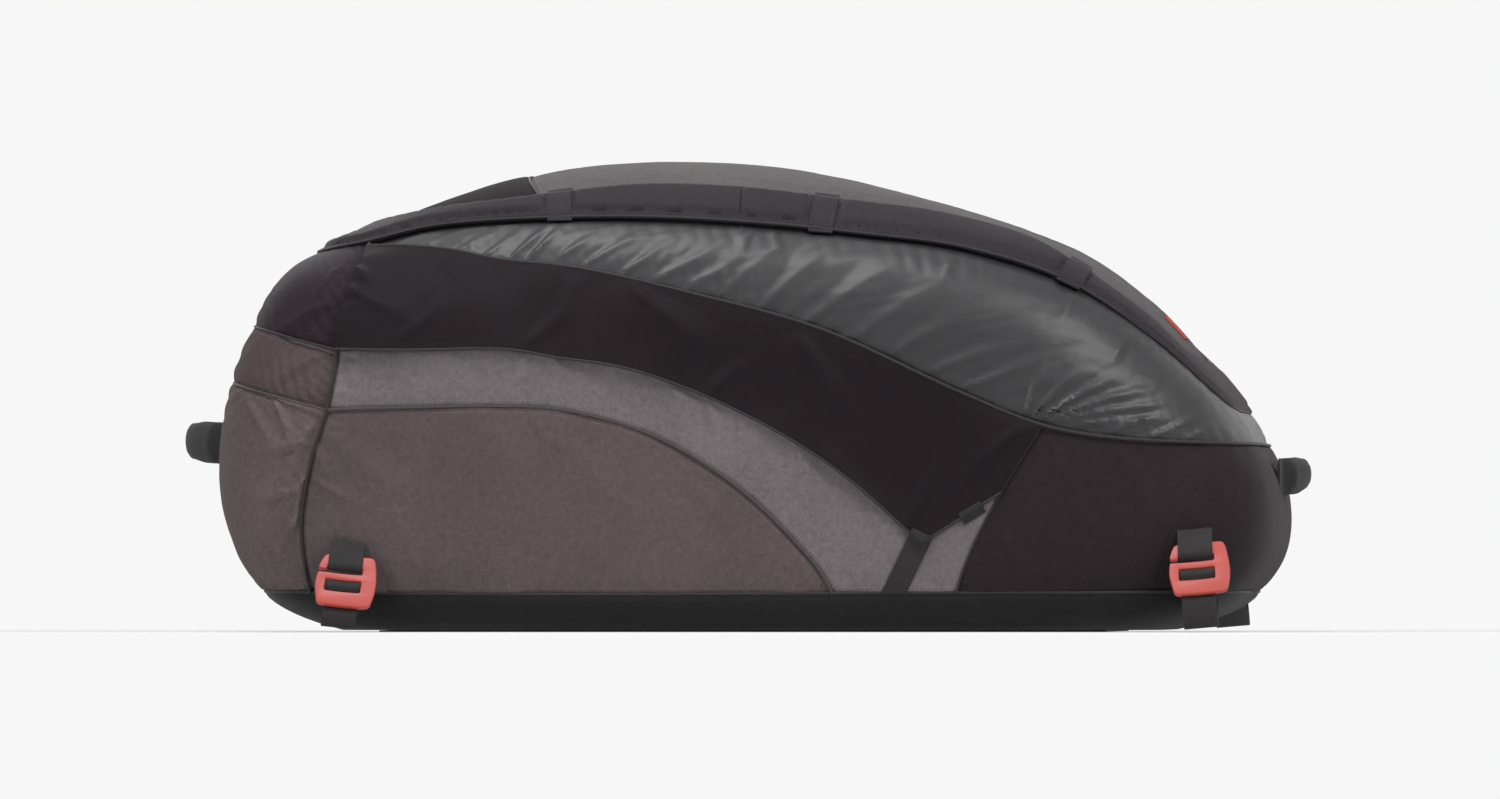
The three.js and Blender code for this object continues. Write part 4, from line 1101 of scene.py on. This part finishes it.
def ribbon(name, path, across, wide, thick, plump=0.0):
    """A band of webbing along a path. Across is the direction of its width; a plump one bulges."""
    path = np.asarray(path, float)
    ahead = np.gradient(path, axis=0)
    ahead /= np.linalg.norm(ahead, axis=1)[:, None]
    across = np.broadcast_to(np.asarray(across, float), path.shape)
    across = across - ahead * (across * ahead).sum(1)[:, None]
    across = across / np.linalg.norm(across, axis=1)[:, None]
    up = np.cross(ahead, across)
    wide, thick = np.broadcast_to(wide, len(path)), np.broadcast_to(thick, len(path))
    run = run_along(path)
    corner = np.linspace(-math.pi / 2, math.pi / 2, 5)
    flats = np.linspace(-1, 1, 9)[1:-1]
    points, weave, gaps = [], [], []
    for at in range(len(path)):
        half, deep = wide[at] / 2, thick[at] / 2
        straight = half - deep
        ring = [(straight + deep * math.cos(a), deep * math.sin(a)) for a in corner]
        ring += [(-f * straight, deep) for f in flats]
        ring = np.array(ring + [(-x, -y) for x, y in ring])
        ring[:, 1] *= 1 - plump * (ring[:, 0] / half) ** 2
        points.append(path[at] + ring[:, :1] * across[at] + ring[:, 1:] * up[at])
        weave.append(np.stack([ring[:, 0], np.full(len(ring), run[at])], axis=1))
        gaps.append(half - np.abs(ring[:, 0]))
    count = len(points[0])
    total = count * len(path)
    place = np.arange(total).reshape(len(path), count)
    turned = np.roll(place, -1, axis=1)
    a, b, c, d = (corner.ravel() for corner in (place[:-1], turned[:-1], turned[1:], place[1:]))
    first, last = np.full(count, total), np.full(count, total + 1)
    triangles = [(a, d, c), (a, c, b), (place[0], turned[0], first), (turned[-1], place[-1], last)]
    triangles = np.concatenate([np.stack(corners, axis=1) for corners in triangles])
    weave = np.concatenate([*weave, [[0, 0], [0, run[-1]]]])
    made = mesh_object("woven_" + name, np.concatenate([*points, path[[0, -1]]]), triangles)
    point_column(made, "seam_gap", np.concatenate([*gaps, [wide[0] / 2, wide[-1] / 2]]))
    weave_layer(made, weave)
    select_only(made)
    bpy.ops.object.shade_smooth_by_angle(angle=RIBBON_CREASE)
    return hang(made, dyes["webbing"], [name])


def hook_place(end, side):
    """From a hook's holder, with the strap's distance out along -Y, to the bag."""
    sign = 1 if side == "right" else -1
    turned = Matrix.Rotation(0 if sign > 0 else math.pi, 4, "Z")
    twisted = Matrix.Rotation(sign * HOOKS[end]["twist"], 4, "Y")
    return Matrix.Translation((HOOKS[end]["x"], 0, 0)) @ turned @ twisted


def in_section(end, points):
    """Points of the hook's section, as mm out from its plate and up along it, as distance and height."""
    sine, cosine = math.sin(HOOK_LEAN) * MM, math.cos(HOOK_LEAN) * MM
    foot = HOOKS[end]["foot"]
    return [
        (STRAP_OUT + out * cosine - up * sine, foot + out * sine + up * cosine)
        for out, up in points
    ]


def side_distance(x, z):
    """Distance of the skin from the middle plane at a place in side view."""
    angle = np.arctan2(z - HEART, x)
    power = squareness(angle)
    share = np.minimum(np.hypot(x, z - HEART) / rim_at(angle), 0.999)
    return float((1 - share**power) ** (1 / power) * WIDTH / 2)


def section_line(end, side, corners):
    """A smooth path through points of the section, placed on the bag."""
    place = hook_place(end, side)
    line = smooth_line(np.array(corners), steps=7)
    return np.array([place @ Vector((WINDOW_SHIFT, -out, up)) for out, up in line])


def rounded_line(corners):
    """A closed line round corners, each given as across, up and the size of its rounding, in mm."""
    line = []
    for at, (x, y, radius) in enumerate(corners):
        here = np.array([x, y, 0], float)
        before, after = (np.array([*corners[(at + turn) % len(corners)][:2], 0], float) for turn in (-1, 1))
        for t in (0, 0.25, 0.5, 0.75, 1):
            first, last = (
                here + (other - here) * min(0.48, radius / np.linalg.norm(other - here))
                for other in (before, after)
            )
            line.append((1 - t) ** 2 * first + 2 * t * (1 - t) * here + t**2 * last)
    return np.array(line) * MM


def hook_mesh(name, place):
    """The quick hook: a rounded plate with a slot for its strap and a side mouth under its top bar."""
    made = curve_mesh("moulded_" + name, [rounded_line(HOOK_OUTLINE), rounded_line(HOOK_SLOT)], True,
                      dimensions="2D", fill_mode="BOTH", bevel_depth=1.5 * MM, bevel_resolution=3,
                      extrude=1.5 * MM, offset=-1.5 * MM)
    made.data.transform(place)
    bpy.ops.object.mode_set(mode="EDIT")
    bpy.ops.mesh.select_all(action="SELECT")
    bpy.ops.mesh.remove_doubles(threshold=1e-5)
    bpy.ops.mesh.normals_make_consistent(inside=False)
    bpy.ops.object.mode_set(mode="OBJECT")
    bpy.ops.object.shade_smooth_by_angle(angle=HOOK_CREASE)
    hang(made, dyes["hook_plastic"], [name])


def in_box(cloth, low, high):
    """The part of a cloth between two corners of a box."""
    for axis in range(3):
        cloth = cloth.where(cloth["place"][:, axis] - low[axis])
        cloth = cloth.where(high[axis] - cloth["place"][:, axis])
    return cloth


PANEL_HEIGHTS = {"rear": lower_height, "front": front_height}
for end, hook in HOOKS.items():
    for side, sign in (("right", 1), ("left", -1)):
        top_z = hook["foot"] + HOOK_TALL * math.cos(HOOK_LEAN) + ANCHOR_OVER
        middle = hook["x"] + sign * WINDOW_SHIFT + top_z * math.tan(hook["twist"])
        inner, outer = sorted((0, -sign * WIDTH))
        near = in_box(over_base, (middle - 0.05, inner, 0), (middle + 0.05, outer, top_z))
        below = top_z - near["place"][:, 2]
        half = ANCHOR_TOP / 2 + (ANCHOR_FOOT - ANCHOR_TOP) / 2 * below / ANCHOR_HIGH
        near = near.where(half - np.abs(near["place"][:, 0] - middle))
        near = near.where(near["place"][:, 2] - (top_z - ANCHOR_HIGH))
        panel(f"{end}_anchor_patch_{side}", near, PANEL_HEIGHTS[end](near) + 2.2 * MM, hook["cloth"],
              ["base"], side_thick=1.6)

        place = hook_place(end, side)
        plate = Matrix.Translation((0, -STRAP_OUT, hook["foot"]))
        plate = plate @ Matrix.Rotation(math.pi / 2 - HOOK_LEAN, 4, "X")
        hook_mesh(f"{end}_hook_{side}", place @ plate)

        across = place.to_3x3() @ Vector((1, 0, 0))
        reach = side_distance(middle, top_z - WEBBING)
        bar = [
            (reach + 4.5 * MM, top_z - 4 * MM),
            *in_section(end, HOOK_LOOP),
            (reach + 2.2 * MM, top_z - 8 * MM),
        ]
        ribbon(f"{end}_hook_webbing_{side}", section_line(end, side, bar), across, STRAP_WIDE, WEBBING)

        rail = [
            *in_section(end, HOOK_TAIL),
            (STRAP_OUT, hook["foot"] - 8 * MM),
            (STRAP_OUT, 11 * MM),
            (STRAP_OUT - 1.5 * MM, 6.5 * MM),
            (STRAP_OUT - 7 * MM, 5.6 * MM),
            (side_distance(hook["x"], 34 * MM) - 2 * MM, 34 * MM),
        ]
        ribbon(f"{end}_rail_strap_{side}", section_line(end, side, rail), across, STRAP_WIDE, WEBBING * 0.9)


def strip_cloth(cloth, line, half):
    """The part of a cloth in a straight band of side view between two points."""
    start, end = in_metres(line)
    ahead = (end - start) / np.linalg.norm(end - start)
    across = np.array([-ahead[1], ahead[0]])
    cloth = cloth.where(half - np.abs((cloth["place"][:, [0, 2]] - start) @ across))
    cloth = cloth.where((cloth["place"][:, [0, 2]] - start) @ ahead)
    return cloth.where(-((cloth["place"][:, [0, 2]] - end) @ ahead))


def over_wing(cloth):
    lift = rise_between(cloth["wing"], -0.010, 0.002)
    return 2.6 * MM + light_height(cloth) * (1 - lift) + (wing_height(cloth) + 0.4 * MM) * lift


WING_STRIPS = {
    "wing_tie": ([(672, 210), (640, 60)], 12.5 * MM),
    "wing_catch": ([(708, 238), (728, 265)], 7 * MM),
}
for side, cloth in right_and_left(middle_wall.over("piped")).items():
    for name, (line, half) in WING_STRIPS.items():
        band = strip_cloth(cloth, line, half)
        panel(f"{name}_{side}", band, over_wing(band), "webbing", ["base"], side_thick=1.8)

# Grab handles: a padded sleeve of webbing, sewn flat at both its ends
HANDLES = {"rear": (-1, 209, 46, 52), "front": (1, 172, 40, 34)}  # side, height, width and reach, in mm
HANDLE_SPAN = 200 * MM
HANDLE_PAD = 42 * MM  # the flat length sewn down beside each end of the grip
HANDLE_FLAT, HANDLE_FULL = 3.2 * MM, 13 * MM  # how thick the webbing is, and what the padding adds
HANDLE_PLUMP = 0.62


def end_distance(y, z, sign):
    """How far out the skin is at an end, at a distance from the middle plane and a height."""
    out = np.full(len(y), LENGTH / 2)
    for _ in range(30):
        points = np.stack([sign * out, y, z], axis=1)
        out = out / (1 + (outness(points) - 1) * 0.9)
    return out


for end, (sign, height, wide, reach) in HANDLES.items():
    y = np.linspace(-HANDLE_SPAN / 2 - HANDLE_PAD, HANDLE_SPAN / 2 + HANDLE_PAD, 73)
    whole = HANDLE_SPAN / 2 + 6 * MM
    swell = np.where(np.abs(y) < whole, np.cos(math.pi * y / (2 * whole)) ** 2, 0)
    z = height * MM + 3 * MM * swell
    grip = rise_between(HANDLE_SPAN * 0.40 - np.abs(y), -0.006, 0.010)
    thick = HANDLE_FLAT + HANDLE_FULL * grip
    out = end_distance(y, z, sign) + thick / 2 + 0.8 * MM + (reach * MM - thick + 1.0 * MM) * swell
    path = np.stack([sign * out, y, z], axis=1)
    width = wide * MM * (1 - 0.14 * rise_between(swell, 0.45, 1.0))
    handle = ribbon(f"{end}_handle", path, (0, 0, 1), width, thick, HANDLE_PLUMP)

# Plain coloured patches on the ends
rear_badge = in_box(behind_rear, (-1, -0.060, 0.70 * HEIGHT), (0, 0.060, 0.765 * HEIGHT))
panel("rear_badge", rear_badge, rear_height(rear_badge, "rear_upper") + 1.4 * MM, "badge_cloth",
      ["rear_upper"], side_thick=1.0)
front_badge = in_box(over_base, (0, -0.065, 0.625 * HEIGHT), (1, 0.065, 0.672 * HEIGHT))
panel("front_badge", front_badge, top_height(front_badge) + 1.4 * MM, "badge_cloth", ["flap_high"], True,
      side_thick=1.0)

# The zip's tape, under the flap
zip_zone = flap_zone.where(flap_zone["flap_low"] - ZIP_INSET)
zip_zone = zip_zone.where(-zip_zone["flap_high"] - ZIP_INSET)
panel("zip_tape", zip_zone, np.full(len(zip_zone["place"]), -2.5 * MM), "zip_tape", ["flap_low", "flap_high"],
      side_thick=1.2)

# What stays as packed: the zip's sliders and pulls, and the stiff panel under the bag
KEPT = {"base_panel": "base_panel"}
KEPT.update({f"zip_{part}_{side}": "zip_metal" for part in ("slider", "pull") for side in ("right", "left")})
for node, dye in KEPT.items():
    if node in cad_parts:
        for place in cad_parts[node].material_slots:
            place.material = dyes[dye]

# Studio
STAGE_COLOUR = (0.93, 0.93, 0.93, 1)
SKY = 0.16
FLOOR_GLOW = 0.55  # how much of the floor glows near the bag, where it keeps its shadow
FLOOR_NEAR, FLOOR_RIM = 0.7, 1.6  # where the floor begins to brighten, and over what distance
bpy.ops.object.select_all(action="DESELECT")
bpy.ops.mesh.primitive_plane_add(size=120, location=(0, 0, -0.0005))
floor = bpy.context.object
floor.name = "floor"
floor.data.name = "floor"
paint = Dye("floor_paint", 0.9, Specular_IOR_Level=0.0)
paint.colour(STAGE_COLOUR)
far = paint.node("ShaderNodeVectorMath", {"operation": "LENGTH"}, {0: paint.place()}, output=1)
far = ((far - FLOOR_NEAR) / FLOOR_RIM).limited()
glow = paint.node("ShaderNodeEmission", {}, {"Color": STAGE_COLOUR, "Strength": 1.0})
RAYS = [f"Is {kind} Ray" for kind in ("Camera", "Glossy", "Transmission")]
seen = sum(paint.node("ShaderNodeLightPath", output=ray) for ray in RAYS).limited()
shown = seen * (far * (1 - FLOOR_GLOW) + FLOOR_GLOW)
mixed = paint.node("ShaderNodeMixShader", {}, {0: shown, 2: glow})
paint.tree.links.new(paint.shader.outputs[0], mixed.socket.node.inputs[1])
paint.tree.links.new(mixed.socket, paint.tree.nodes["Material Output"].inputs["Surface"])
floor.data.materials.append(paint.material)

world = bpy.data.worlds.new("studio")
bpy.context.scene.world = world
world.use_nodes = True
tree = world.node_tree
sky = tree.nodes["Background"]
sky.inputs["Color"].default_value = (1, 1, 1, 1)
sky.inputs["Strength"].default_value = SKY
backdrop = tree.nodes.new("ShaderNodeBackground")
backdrop.inputs["Color"].default_value = STAGE_COLOUR
rays = tree.nodes.new("ShaderNodeLightPath").outputs
choice = tree.nodes.new("ShaderNodeMixShader")
shown = rays[RAYS[0]]
for ray in RAYS[1:]:
    either = tree.nodes.new("ShaderNodeMath")
    either.operation = "MAXIMUM"
    tree.links.new(shown, either.inputs[0])
    tree.links.new(rays[ray], either.inputs[1])
    shown = either.outputs[0]
tree.links.new(shown, choice.inputs[0])
tree.links.new(sky.outputs[0], choice.inputs[1])
tree.links.new(backdrop.outputs[0], choice.inputs[2])
tree.links.new(choice.outputs[0], tree.nodes["World Output"].inputs["Surface"])


def stand(name, data, place, aim):
    """Puts a lamp or the camera at a place, turned to what it aims at."""
    made = bpy.data.objects.new(name, data)
    bpy.context.scene.collection.objects.link(made)
    made.location = place
    made.rotation_euler = (Vector(aim) - Vector(place)).to_track_quat("-Z", "Y").to_euler()
    return made


LAMPS = {  # place, aim, size and watts
    "overhead": ((-0.6, -1.0, 2.6), (0, 0, 0.25), (2.0, 0.7), 46),
    "from_front_right": ((1.9, -2.2, 2.0), (0.1, 0, 0.25), (1.5, 1.1), 50),
    "from_the_right": ((-2.3, -3.2, 1.0), (-0.1, 0, 0.25), (1.0, 0.8), 24),
    "from_the_left": ((-0.6, 3.6, 1.6), (0, 0, 0.3), (2.4, 1.6), 24),
}
for name, (place, aim, size, watts) in LAMPS.items():
    lamp = bpy.data.lights.new(name, "AREA")
    lamp.shape = "RECTANGLE"
    lamp.size, lamp.size_y = size
    lamp.energy = watts
    stand(name, lamp, place, aim)

CAMERA_AT = (1.519, -35.2, 0.05)  # far off, as in the photograph
LOOKS_AT = (-0.009, 0.0, 0.258)
lens = bpy.data.cameras.new("camera")
lens.lens = 760
lens.sensor_width = 36
lens.clip_end = 100
bpy.context.scene.camera = stand("camera", lens, CAMERA_AT, LOOKS_AT)
bpy.context.scene.view_settings.view_transform = "Standard"
